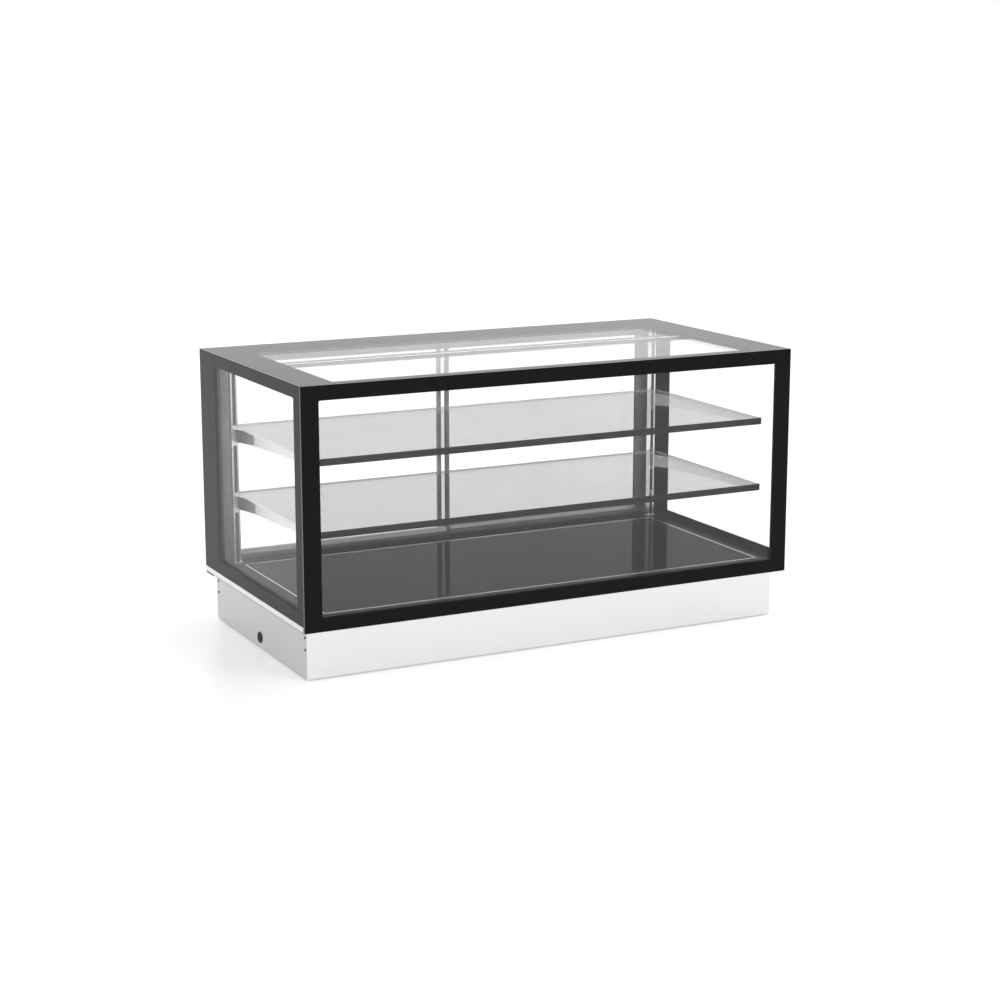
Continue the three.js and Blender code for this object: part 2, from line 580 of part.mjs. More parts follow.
function addDeck() {
  const front = INSIDE_BAND;
  const rear = REAR;
  const { x: openX, y: openY, corner } = FLANGE_OPENING;
  const plate = windowFrame([-RIGHT, RIGHT], [front, rear], openX, openY, corner);
  const lip = windowFrame(
    [-RIGHT, RIGHT], [front, rear],
    [SHEET - RIGHT, RIGHT - SHEET], [front + SHEET, rear - SHEET], SHEET);
  const flange = shaped(risen(plate, [FLANGE_TOP - SHEET, FLANGE_TOP]), {
    add: [risen(lip, [FLANGE_BOTTOM + GAP, FLANGE_TOP])],
  });
  place('base_flange', flange, brushedSteel);

  const half = RIGHT - CERAMIC_SIDE_INSET;
  const ceramicFront = FRONT + CERAMIC_FRONT_INSET;
  const ceramicRear = ceramicFront + CERAMIC_DEPTH;
  const grown = (by) => [[-half - by, half + by], [ceramicFront - by, ceramicRear + by]];
  const trimOut = TRIM_WIDTH + GAP;
  const openEdge = trimOut + GAP;

  const deckRear = REAR - GAP;
  const roof = windowFrame([-LINING, LINING], [front, deckRear], ...grown(openEdge), BAND_CORNER);
  const outerSkirt = windowFrame(
    [-LINING, LINING], [front, deckRear],
    [SHEET - LINING, LINING - SHEET], [front + SHEET, deckRear - SHEET], SHEET);
  const innerSkirt = rectangle(...grown(openEdge + SHEET), BAND_CORNER + SHEET);
  innerSkirt.holes.push(rectangle(...grown(openEdge), BAND_CORNER));
  const surround = shaped(risen(roof, [DECK_TOP - SHEET, DECK_TOP]), {
    add: [
      risen(outerSkirt, [GLASS_BOTTOM, DECK_TOP]),
      risen(innerSkirt, [GLASS_BOTTOM, DECK_TOP]),
    ],
  });
  place('deck_surround', surround, blackEnamel);

  const trim = rectangle(...grown(trimOut), BAND_CORNER);
  trim.holes.push(rectangle(...grown(GAP), TRIM_INNER_CORNER));
  place('deck_trim_ring', risen(trim, [DECK_TOP - TRIM_DEPTH, DECK_TOP + TRIM_PROUD]), brushedSteel);

  const [spanX, spanY] = grown(0);
  const ceramicTop = DECK_TOP + CERAMIC_PROUD;
  const glass = rectangle(spanX, spanY, CERAMIC_CORNER);
  place('ceramic_deck', risen(glass, [ceramicTop - CERAMIC_THICK, ceramicTop]), ceramic);
  const underside = ceramicTop - CERAMIC_THICK - GAP;
  const shrunk = (x, y) => [[x - half, half - x], [ceramicFront + y, ceramicRear - y]];
  const heater = rectangle(...shrunk(HEATER.insetX, HEATER.insetY), HEATER.corner);
  place('deck_heater', risen(heater, [underside - HEATER.thick, underside]), heaterFoil);
  const woolSpan = [underside - WOOL.bottom, underside - HEATER.thick - GAP];
  place('deck_insulation', block(...shrunk(WOOL.inset, WOOL.inset), woolSpan), mineralWool);
}

// ---------------------------------------------------------------- plinth

const PLINTH_HALF = RIGHT - PLINTH_SIDE_INSET;
const PLINTH_FRONT = FRONT + PLINTH_FRONT_INSET;
const PLINTH_REAR = REAR - PLINTH_REAR_INSET;
const PLINTH_SPAN = [PLINTH_BOTTOM, FLANGE_BOTTOM - GAP];

/** A folded panel: a flat face between the corners and a return behind each side panel. */
function foldedPanel(face, inward) {
  const back = face + inward * SHEET;
  const end = face + inward * PLINTH_RETURN;
  const outer = PLINTH_HALF - SHEET - GAP;
  const inner = outer - SHEET;
  return outline([
    [-PLINTH_HALF, face], [PLINTH_HALF, face], [PLINTH_HALF, back], [outer, back],
    [outer, end], [inner, end], [inner, back], [-inner, back],
    [-inner, end], [-outer, end], [-outer, back], [-PLINTH_HALF, back],
  ]);
}

const REAR_CUT = [PLINTH_REAR - CUT_REACH, PLINTH_REAR + CUT_REACH]; // right through the rear panel

/** Tall narrow cuts that let the warm air of the base out. */
function ventSlots() {
  return Array.from({ length: VENT.count }, (_, index) => {
    const x = VENT.first + index * VENT.pitch;
    return alongY(rectangle([x - VENT.half, x + VENT.half], VENT.z), REAR_CUT);
  });
}

/** The opening that the switch housing passes through. */
const switchCut = (grow) => rectangle(
  [SWITCH_X - SWITCH_SPACING - grow, SWITCH_X + SWITCH_SPACING + grow],
  [CONTROL_Z - POCKET_HALF_Z - SWITCH_WALL - grow, CONTROL_Z + POCKET_HALF_Z + SWITCH_WALL + grow]);

/** The round hole that the thermostat's shaft passes through. */
function shaftHole(span) {
  const hole = new THREE.Shape();
  hole.absarc(KNOB_X, CONTROL_Z, SHAFT_RADIUS + SHAFT_CLEARANCE, 0, 2 * Math.PI);
  return alongY(hole, span, HOLE_STEPS);
}

function addPlinth() {
  place('plinth_front_panel', risen(foldedPanel(PLINTH_FRONT, 1), PLINTH_SPAN), brushedSteel);

  const rear = shaped(risen(foldedPanel(PLINTH_REAR, -1), PLINTH_SPAN), {
    cut: [...ventSlots(), alongY(switchCut(GAP), REAR_CUT), shaftHole(REAR_CUT)],
  });
  place('plinth_rear_panel', rear, brushedSteel);

  const span = [PLINTH_FRONT + SHEET + GAP, PLINTH_REAR - SHEET - GAP];
  for (const [side, sign] of SIDES) {
    const panel = rectangle(span, PLINTH_SPAN);
    if (sign < 0) {
      const hole = new THREE.Path();
      hole.absarc(GLAND_Y, GLAND_Z, GLAND_THREAD + GAP, 0, 2 * Math.PI);
      panel.holes.push(hole);
    }
    const across = sideSpan(sign, PLINTH_HALF - SHEET, PLINTH_HALF);
    place(`plinth_${side}_panel`, alongX(panel, across, HOLE_STEPS), brushedSteel);
  }
}

function addBasePanAndFeet() {
  const half = PLINTH_HALF - 2 * SHEET - 2 * GAP;
  const pan = rectangle([-half, half], [PLINTH_FRONT + SHEET + GAP, PLINTH_REAR - SHEET - GAP]);
  for (const [side, sign] of SIDES) {
    for (const [end, y] of Object.entries(FOOT_YS)) {
      const hole = new THREE.Path();
      hole.absarc(sign * FOOT_X, y, FOOT_STUD + GAP, 0, 2 * Math.PI);
      pan.holes.push(hole);
      const foot = new THREE.LatheGeometry([
        [0, 0], [FOOT_SOLE, 0], [FOOT_RADIUS, FOOT_CHAMFER], [FOOT_RADIUS, FOOT_HEIGHT],
        [FOOT_STUD, FOOT_HEIGHT], [FOOT_STUD, FOOT_STUD_TOP], [0, FOOT_STUD_TOP],
      ].map(([r, z]) => new THREE.Vector2(r, z)), 24).rotateX(Math.PI / 2);
      place(`${end}_${side}_foot`, foot.translate(sign * FOOT_X, y, 0), rubber);
    }
  }
  place('base_pan', risen(pan, [PLINTH_BOTTOM, PLINTH_BOTTOM + SHEET], HOLE_STEPS), brushedSteel);
}

/** The black rail under the flange, round the back of the plinth. */
function addRearRail() {
  const outer = RIGHT - 1;
  const inner = PLINTH_HALF + GAP;
  const rail = outline([
    [-outer, FRAME_FRONT], [-inner, FRAME_FRONT], [-inner, PLINTH_REAR + GAP],
    [inner, PLINTH_REAR + GAP], [inner, FRAME_FRONT], [outer, FRAME_FRONT],
    [outer, REAR - GAP], [-outer, REAR - GAP],
  ]);
  const top = FLANGE_BOTTOM - GAP;
  place('rear_flange_rail', risen(rail, [top - RAIL_DROP, top]), blackPlastic);
}

/** The round gland in the left panel: head outside, thread through it, nut inside. */
function addGland() {
  const nutRadius = GLAND_RADIUS - 1;
  const profile = [
    [0, GLAND_HEAD], [GLAND_RADIUS - GLAND_CHAMFER, GLAND_HEAD], [GLAND_RADIUS, 1],
    [GLAND_RADIUS, GAP], [GLAND_THREAD, GAP], [GLAND_THREAD, -SHEET - GAP],
    [nutRadius, -SHEET - GAP], [nutRadius, -SHEET - GLAND_NUT],
    [GLAND_THREAD, -SHEET - GLAND_NUT], [GLAND_THREAD, -GLAND_TAIL], [0, -GLAND_TAIL],
  ].reverse();
  const points = profile.map(([r, along]) => new THREE.Vector2(r, along));
  const gland = new THREE.LatheGeometry(points, 32).rotateZ(Math.PI / 2);
  place('cable_gland', gland.translate(-PLINTH_HALF, GLAND_Y, GLAND_Z), rubber);
}

// ---------------------------------------------------------------- controls

const FASCIA_BACK = PLINTH_REAR + GAP;
const FASCIA_FACE = FASCIA_BACK + CONTROL_THICK;
const ROCKER_PIVOT_Y = FASCIA_FACE + 1; // the pivots of both rockers lie in this plane

function addThermostat() {
  const plate = rectangle(
    [CONTROL_X - CONTROL_WIDTH / 2, CONTROL_X + CONTROL_WIDTH / 2],
    [CONTROL_Z - CONTROL_HEIGHT / 2, CONTROL_Z + CONTROL_HEIGHT / 2], FASCIA_CORNER);
  const fascia = shaped(alongY(plate, [FASCIA_BACK, FASCIA_FACE]), {
    cut: [
      alongY(switchCut(GAP), [FASCIA_BACK - 1, FASCIA_FACE + 1]),
      shaftHole([FASCIA_BACK - 1, FASCIA_FACE + 1]),
    ],
  });
  place('control_fascia', fascia, blackPlastic);

  const inner = PLINTH_REAR - SHEET - GAP;
  const { half, depth, halfHeight, overlap } = THERMOSTAT;
  const box = block(
    [KNOB_X - half, KNOB_X + half], [inner - depth, inner],
    [CONTROL_Z - halfHeight, CONTROL_Z + halfHeight]);
  const root = inner - overlap;
  const tip = FASCIA_FACE + SHAFT_REACH;
  const shaft = [[0, root], [SHAFT_RADIUS, root], [SHAFT_RADIUS, tip], [0, tip]];
  const body = shaped(box, { add: [turnedY(shaft, 16, [KNOB_X, 0, CONTROL_Z])] });
  place('thermostat_body', body, whitePlastic);

  const back = FASCIA_FACE + GAP;
  const bore = SHAFT_RADIUS + GAP;
  const [skirtEnd, slopeEnd] = KNOB_SKIRT;
  const [crownIn, crownDown] = KNOB_CROWN;
  const face = back + KNOB_DEPTH;
  const skirt = [
    [0, back + KNOB_SOCKET], [bore, back + KNOB_SOCKET], [bore, back], [KNOB_RADIUS, back],
    [KNOB_RADIUS, back + skirtEnd], [KNOB_GRIP, back + slopeEnd],
    [KNOB_GRIP - 1, face - crownDown], [KNOB_GRIP - 1 - crownIn, face], [0, face],
  ];
  const pointer = block(
    [KNOB_X - POINTER.half, KNOB_X + POINTER.half], [back + POINTER.start, face + POINTER.proud],
    [CONTROL_Z + POINTER.low, CONTROL_Z + KNOB_RADIUS - POINTER.inset]);
  const knob = shaped(turnedY(skirt, 36, [KNOB_X, 0, CONTROL_Z]), { add: [pointer] });
  place('thermostat_knob', knob, blackPlastic);
}

/** A rocker cap: two flats in a shallow V on a body whose ends clear the pocket. */
function rockerGeometry(x) {
  const { half, back, backHalf, end, middle } = ROCKER;
  const cap = outline([
    [-back, -backHalf], [-back, backHalf], [0, half], [end, half], [middle, 0], [end, -half], [0, -half],
  ]);
  return alongX(cap, [-ROCKER_HALF_X, ROCKER_HALF_X]).rotateX(ROCKER_TILT)
    .translate(x, ROCKER_PIVOT_Y, CONTROL_Z);
}

function addSwitches() {
  const centres = [SWITCH_X + SWITCH_SPACING / 2, SWITCH_X - SWITCH_SPACING / 2];
  const face = FASCIA_FACE + BEZEL_PROUD;
  const bezel = alongY(switchCut(BEZEL_WIDTH), [FASCIA_FACE + GAP, face]);
  const body = alongY(switchCut(0), [PLINTH_REAR - SWITCH_DEPTH, face]);
  const pockets = centres.map((x) => block(
    [x - POCKET_HALF_X, x + POCKET_HALF_X], [ROCKER_PIVOT_Y - POCKET_DEPTH, face + BEZEL_PROUD],
    [CONTROL_Z - POCKET_HALF_Z, CONTROL_Z + POCKET_HALF_Z]));
  place('switch_housing', shaped(body, { add: [bezel], cut: pockets }), blackPlastic);
  place('main_switch_rocker', rockerGeometry(centres[0]), blackPlastic);
  place('light_switch_rocker', rockerGeometry(centres[1]), whitePlastic);
}

/** The mains terminal block on the base pan, inside the gland. */
function addTerminalBlock() {
  const low = PLINTH_BOTTOM + SHEET + GAP;
  const { inset, length, half, ridge, skirt, shoulder, height } = TERMINAL;
  const section = outline([
    [-half, low], [half, low], [half, low + skirt], [ridge, low + shoulder], [ridge, low + height],
    [-ridge, low + height], [-ridge, low + shoulder], [-half, low + skirt],
  ]);
  const start = inset - PLINTH_HALF;
  const body = alongX(section, [start, start + length]).translate(0, GLAND_Y, 0);
  place('terminal_block', body, whitePlastic);
}

// ---------------------------------------------------------------- the case

addGlassShell();
addEnamelBands();
addTopRail();
addBottomTrack();
addRearPosts();
addUprights();
Object.entries(SHELF_TOPS).forEach(([level, top]) => addShelf(level, top));
addTopLight();
addDoor('left', -1, DOOR_PLANE_FRONT);
addDoor('right', 1, DOOR_PLANE_REAR);
addDeck();
addPlinth();
addBasePanAndFeet();
addRearRail();
addGland();
addThermostat();
addSwitches();
addTerminalBlock();

export default pieces;
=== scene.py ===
"""Hot food display case: the finished look of the case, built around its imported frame.

Metres, +Z up, +X to the right and -Y towards the customer, the same frame as the parts.
"""

from __future__ import annotations

import logging
import math
from collections.abc import Iterable, Sequence
from dataclasses import dataclass, field
from enum import Enum

import bmesh
import bpy
from mathutils import Matrix, Vector


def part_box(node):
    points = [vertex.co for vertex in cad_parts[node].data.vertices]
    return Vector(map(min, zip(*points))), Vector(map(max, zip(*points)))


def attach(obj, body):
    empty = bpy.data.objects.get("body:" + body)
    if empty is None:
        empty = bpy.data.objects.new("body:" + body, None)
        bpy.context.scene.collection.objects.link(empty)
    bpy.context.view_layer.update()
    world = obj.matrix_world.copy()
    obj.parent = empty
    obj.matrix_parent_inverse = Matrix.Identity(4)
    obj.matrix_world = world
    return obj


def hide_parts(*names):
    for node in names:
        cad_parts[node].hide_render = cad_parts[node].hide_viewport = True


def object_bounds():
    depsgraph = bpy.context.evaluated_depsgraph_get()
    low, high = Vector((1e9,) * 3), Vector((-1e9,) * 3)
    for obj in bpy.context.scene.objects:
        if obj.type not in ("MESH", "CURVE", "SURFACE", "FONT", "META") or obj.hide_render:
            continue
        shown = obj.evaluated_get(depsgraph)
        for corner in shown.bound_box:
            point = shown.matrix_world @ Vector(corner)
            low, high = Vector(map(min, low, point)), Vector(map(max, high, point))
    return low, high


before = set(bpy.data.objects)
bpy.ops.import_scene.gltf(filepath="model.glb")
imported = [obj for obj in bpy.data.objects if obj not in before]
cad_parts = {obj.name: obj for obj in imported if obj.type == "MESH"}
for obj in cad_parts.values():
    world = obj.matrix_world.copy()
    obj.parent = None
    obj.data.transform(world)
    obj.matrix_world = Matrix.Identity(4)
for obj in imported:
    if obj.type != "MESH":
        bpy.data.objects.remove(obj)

CAD_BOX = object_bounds()
MM = 0.001
ROOT = "root"
SIDES = (("left", -1), ("right", 1))
LOG = logging.getLogger("display_case")

Colour = tuple[float, float, float]
Point = Sequence[float]


# ------------------------------------------------------------------ shader graph


@dataclass
class Wire:
    """A shader value that takes part in Python expressions."""

    tree: bpy.types.NodeTree
    outlet: bpy.types.NodeSocket

    def _math(self, operation: str, first: Wire | float, second: Wire | float) -> Wire:
        """Adds one Math node.

        Args:
            operation: the Math node's operation.
            first: its first value.
            second: its second value.

        Returns:
            The node's result.
        """
        node = self.tree.nodes.new("ShaderNodeMath")
        node.operation = operation
        for socket, value in zip(node.inputs, (first, second)):
            if isinstance(value, Wire):
                self.tree.links.new(value.outlet, socket)
            else:
                socket.default_value = value
        return Wire(self.tree, node.outputs[0])

    def __add__(self, other: Wire | float) -> Wire:
        """This value plus another."""
        return self._math("ADD", self, other)

    def __radd__(self, other: float) -> Wire:
        """A number plus this value."""
        return self._math("ADD", other, self)

    def __sub__(self, other: Wire | float) -> Wire:
        """This value less another."""
        return self._math("SUBTRACT", self, other)

    def __rsub__(self, other: float) -> Wire:
        """A number less this value."""
        return self._math("SUBTRACT", other, self)

    def __mul__(self, other: Wire | float) -> Wire:
        """This value times another."""
        return self._math("MULTIPLY", self, other)

    def __rmul__(self, other: float) -> Wire:
        """A number times this value."""
        return self._math("MULTIPLY", other, self)

    def __pow__(self, power: float) -> Wire:
        """This value raised to a power."""
        return self._math("POWER", self, power)


class Graph:
    """The node graph of one material."""

    def __init__(self, name: str) -> None:
        """Starts an empty material with that name.

        Args:
            name: what the material is called.
        """
        self.material = bpy.data.materials.new(name)
        self.material.use_nodes = True
        self.tree = self.material.node_tree
        self.tree.nodes.clear()

    def node(
        self,
        kind: str,
        settings: dict[str, object] | None = None,
        inputs: dict[str | int, object] | None = None,
        outlet: str | int = 0,
    ) -> Wire:
        """Makes any node.

        Args:
            kind: the node's type, without its ShaderNode prefix.
            settings: the node's own settings, set first.
            inputs: values or wires for its sockets, by name or place.
            outlet: the output that is wanted.

        Returns:
            That output.
        """
        node = self.tree.nodes.new("ShaderNode" + kind)
        for name, value in (settings or {}).items():
            setattr(node, name, value)
        for name, value in (inputs or {}).items():
            if isinstance(value, Wire):
                self.tree.links.new(value.outlet, node.inputs[name])
            else:
                node.inputs[name].default_value = value
        return Wire(self.tree, node.outputs[outlet])

    def place(self, scale: Point = (1.0, 1.0, 1.0)) -> Wire:
        """Object coordinates, stretched by scale."""
        where = self.node("TexCoord", outlet="Object")
        return self.node("Mapping", None, {"Vector": where, "Scale": tuple(scale)})

    def noise(self, scale: float, stretch: Point = (1.0, 1.0, 1.0), detail: float = 2.0) -> Wire:
        """Noise over the object, from 0 to 1.

        Args:
            scale: how fine it is, per metre.
            stretch: how much finer it is along each axis.
            detail: its octaves.

        Returns:
            The noise.
        """
        inputs = {"Vector": self.place(stretch), "Scale": scale, "Detail": detail}
        return self.node("TexNoise", None, inputs)

    def blend(self, share: Wire, first: Colour, second: Colour) -> Wire:
        """A mix of two colours.

        Args:
            share: how much of the second colour there is.
            first: the first colour.
            second: the second colour.

        Returns:
            The mixed colour.
        """
        inputs = {0: share, 6: (*first, 1.0), 7: (*second, 1.0)}
        return self.node("Mix", {"data_type": "RGBA"}, inputs, 2)

    def bump(self, height: Wire, depth: float, strength: float = 1.0) -> Wire:
        """A normal bent by a height, depth metres from low to high."""
        return self.node("Bump", None, {"Height": height, "Distance": depth, "Strength": strength})

    def finish(self, surface: Wire) -> bpy.types.Material:
        """Ends the graph.

        Args:
            surface: the shader that the surface takes.

        Returns:
            The material.
        """
        output = self.tree.nodes.new("ShaderNodeOutputMaterial")
        self.tree.links.new(surface.outlet, output.inputs["Surface"])
        return self.material


# ------------------------------------------------------------------ finishes


class Grain(Enum):
    """The way a brushed or drawn surface runs."""

    X = (1.0, 60.0, 60.0)
    Y = (60.0, 1.0, 60.0)
    Z = (60.0, 60.0, 1.0)


@dataclass(frozen=True)
class Metal:
    """Brushed, drawn or anodised metal, with its grain along one axis."""

    name: str
    colour: Colour
    roughness: float
    grain: Grain
    streak: float = 0.12
    relief: float = 0.004 * MM

    def build(self) -> bpy.types.Material:
        """Makes the material.

        Returns:
            The finished material.
        """
        graph = Graph(f"{self.name}_{self.grain.name}")
        lines = graph.noise(28.0, self.grain.value, 6.0)
        cloud = graph.noise(5.0)
        dark = tuple(part * 0.9 for part in self.colour)
        base = graph.blend(lines * 0.7 + cloud * 0.3, dark, self.colour)
        rough = self.roughness + (lines - 0.5) * self.streak + (cloud - 0.5) * 0.05
        return graph.finish(graph.node("BsdfPrincipled", None, {
            "Base Color": base, "Metallic": 1.0, "Roughness": rough,
            "Normal": graph.bump(lines, self.relief),
        }))


@dataclass(frozen=True)
class Moulded:
    """Moulded plastic, rubber, enamel or ceramic: a body colour with a fine surface."""

    name: str
    colour: Colour
    roughness: float
    speckle: float = 900.0
    relief: float = 0.01 * MM
    spread: float = 0.06
    coat: float = 0.0
    shine: float = 0.5

    def build(self) -> bpy.types.Material:
        """Makes the material.

        Returns:
            The finished material.
        """
        graph = Graph(self.name)
        cloud = graph.noise(7.0)
        light = tuple(min(part * 1.12 + 0.001, 1.0) for part in self.colour)
        base = graph.blend(cloud, self.colour, light)
        rough = self.roughness + (cloud - 0.5) * self.spread
        sockets = {
            "Base Color": base, "Roughness": rough, "Coat Weight": self.coat,
            "Coat Roughness": 0.03, "Specular IOR Level": self.shine,
        }
        if self.relief > 0:
            sockets["Normal"] = graph.bump(graph.noise(self.speckle), self.relief)
        return graph.finish(graph.node("BsdfPrincipled", None, sockets))


@dataclass(frozen=True)
class ClearPane:
    """A clear pane: what is behind it, with a mirror on top that grows at low angles."""

    name: str = "clear_pane"
    tint: Colour = (0.994, 0.996, 0.995)
    head_on: float = 0.021
    rise: float = 7.4
    film: float = 0.004

    def build(self) -> bpy.types.Material:
        """Makes the material.

        Returns:
            The finished material.
        """
        graph = Graph(self.name)
        facing = graph.node("LayerWeight", None, {"Blend": 0.5}, "Facing")
        smear = graph.noise(4.0) * self.film
        mirror = self.head_on + (1.0 - self.head_on) * facing ** self.rise + smear
        through = graph.node("BsdfTransparent", None, {"Color": (*self.tint, 1.0)})
        gloss = graph.node("BsdfPrincipled", None, {
            "Base Color": (1.0, 1.0, 1.0, 1.0), "Metallic": 1.0, "Roughness": 0.02,
        })
        return graph.finish(graph.node("MixShader", None, {0: mirror, 1: through, 2: gloss}))


@dataclass(frozen=True)
class Glow:
    """A frosted lens with light behind it."""

    name: str
    strength: float
    colour: Colour = (0.94, 0.97, 1.0)

    def build(self) -> bpy.types.Material:
        """Makes the material.

        Returns:
            The finished material.
        """
        graph = Graph(self.name)
        frost = graph.noise(700.0)
        return graph.finish(graph.node("BsdfPrincipled", None, {
            "Base Color": (*self.colour, 1.0), "Roughness": 0.45 + frost * 0.1,
            "Emission Color": (*self.colour, 1.0), "Emission Strength": self.strength,
            "Normal": graph.bump(frost, 0.01 * MM),
        }))


Recipe = Metal | Moulded | ClearPane | Glow


class Finishes:
    """Every finish of the case, each made once."""

    def __init__(self) -> None:
        """Starts with no material made."""
        self.made: dict[Recipe, bpy.types.Material] = {}

    def get(self, recipe: Recipe) -> bpy.types.Material:
        """The material of a recipe, which is made the first time.

        Args:
            recipe: the finish.

        Returns:
            Its material.
        """
        if recipe not in self.made:
            self.made[recipe] = recipe.build()
        return self.made[recipe]


FINISHES = Finishes()

PANE = ClearPane()
SHELF_PANE = ClearPane("grey_shelf_glass", (0.70, 0.70, 0.702), rise=7.0)
# Pale edge colour of the shelf and door panes: a painted highlight for the bright line of light
# along their polished edges.
GLASS_EDGE_HIGHLIGHT = Moulded("glass_edge_painted_highlight", (0.72, 0.75, 0.74), 0.12, relief=0.002 * MM)
DARK_EDGE = Moulded("bonded_glass_edge", (0.02, 0.024, 0.023), 0.14, relief=0.002 * MM)
ENAMEL = Moulded(
    "black_enamel_glass", (0.0035, 0.0035, 0.004), 0.035, spread=0.02, relief=0.0, shine=0.085)
DECK_ENAMEL = Moulded(
    "black_deck_enamel", (0.006, 0.006, 0.007), 0.14, spread=0.02, relief=0.0, shine=0.006)
CERAMIC = Moulded(
    "black_glass_ceramic", (0.003, 0.003, 0.004), 0.06, spread=0.02, relief=0.0, shine=0.009)
RUBBER = Moulded("black_rubber", (0.016, 0.016, 0.017), 0.62, relief=0.03 * MM)
NYLON = Moulded("natural_nylon", (0.66, 0.67, 0.64), 0.5)
BLACK_PLASTIC = Moulded("black_plastic", (0.016, 0.016, 0.018), 0.42, relief=0.02 * MM)
CREAM_PLASTIC = Moulded("cream_plastic", (0.74, 0.72, 0.66), 0.38)
WHITE_MARK = Moulded("white_print", (0.80, 0.80, 0.79), 0.5)
SILICONE = Moulded("black_silicone", (0.012, 0.012, 0.013), 0.3)
PILE = Moulded("pile_seal", (0.06, 0.06, 0.065), 0.95, speckle=1800.0, relief=0.15 * MM)
WOOL = Moulded("mineral_wool", (0.50, 0.40, 0.18), 0.95, speckle=350.0, relief=0.4 * MM)
SHELF_GLOW = Glow("shelf_light_lens", 1.6)
TOP_GLOW = Glow("ceiling_light_lens", 2.4)
PILOT = Glow("pilot_lamp", 1.4, (1.0, 0.32, 0.06))


def steel(grain: Grain) -> Metal:
    """Brushed stainless sheet."""
    return Metal("brushed_stainless", (0.80, 0.80, 0.795), 0.30, grain)


def shaded_side_steel(grain: Grain) -> Metal:
    """Brushed stainless sheet painted darker on the plinth's two sides: painted shade, a shaded
    copy of the front's steel.
    """
    return Metal("brushed_stainless_painted_shade", (0.585, 0.585, 0.58), 0.32, grain)


def dark_screw(grain: Grain) -> Metal:
    """Dark plated screw steel."""
    return Metal("dark_plated_steel", (0.09, 0.09, 0.092), 0.34, grain)


def anodised(grain: Grain) -> Metal:
    """Grey anodised extrusion."""
    return Metal("grey_anodised", (0.230, 0.232, 0.236), 0.40, grain, 0.06, 0.002 * MM)


def black_profile(grain: Grain) -> Metal:
    """Satin black anodised extrusion."""
    return Metal("black_anodised", (0.012, 0.012, 0.013), 0.34, grain, 0.06, 0.002 * MM)


def foil(grain: Grain) -> Metal:
    """Heating mat in foil."""
    return Metal("heater_foil", (0.55, 0.36, 0.16), 0.42, grain, 0.2, 0.05 * MM)


# ------------------------------------------------------------------ mesh making


class Axis(Enum):
    """The axis that a turned or extruded form follows, as the turn from +Z to it."""

    X = Matrix.Rotation(math.pi / 2, 4, "Y")
    Y = Matrix.Rotation(-math.pi / 2, 4, "X")
    Z = Matrix.Identity(4)


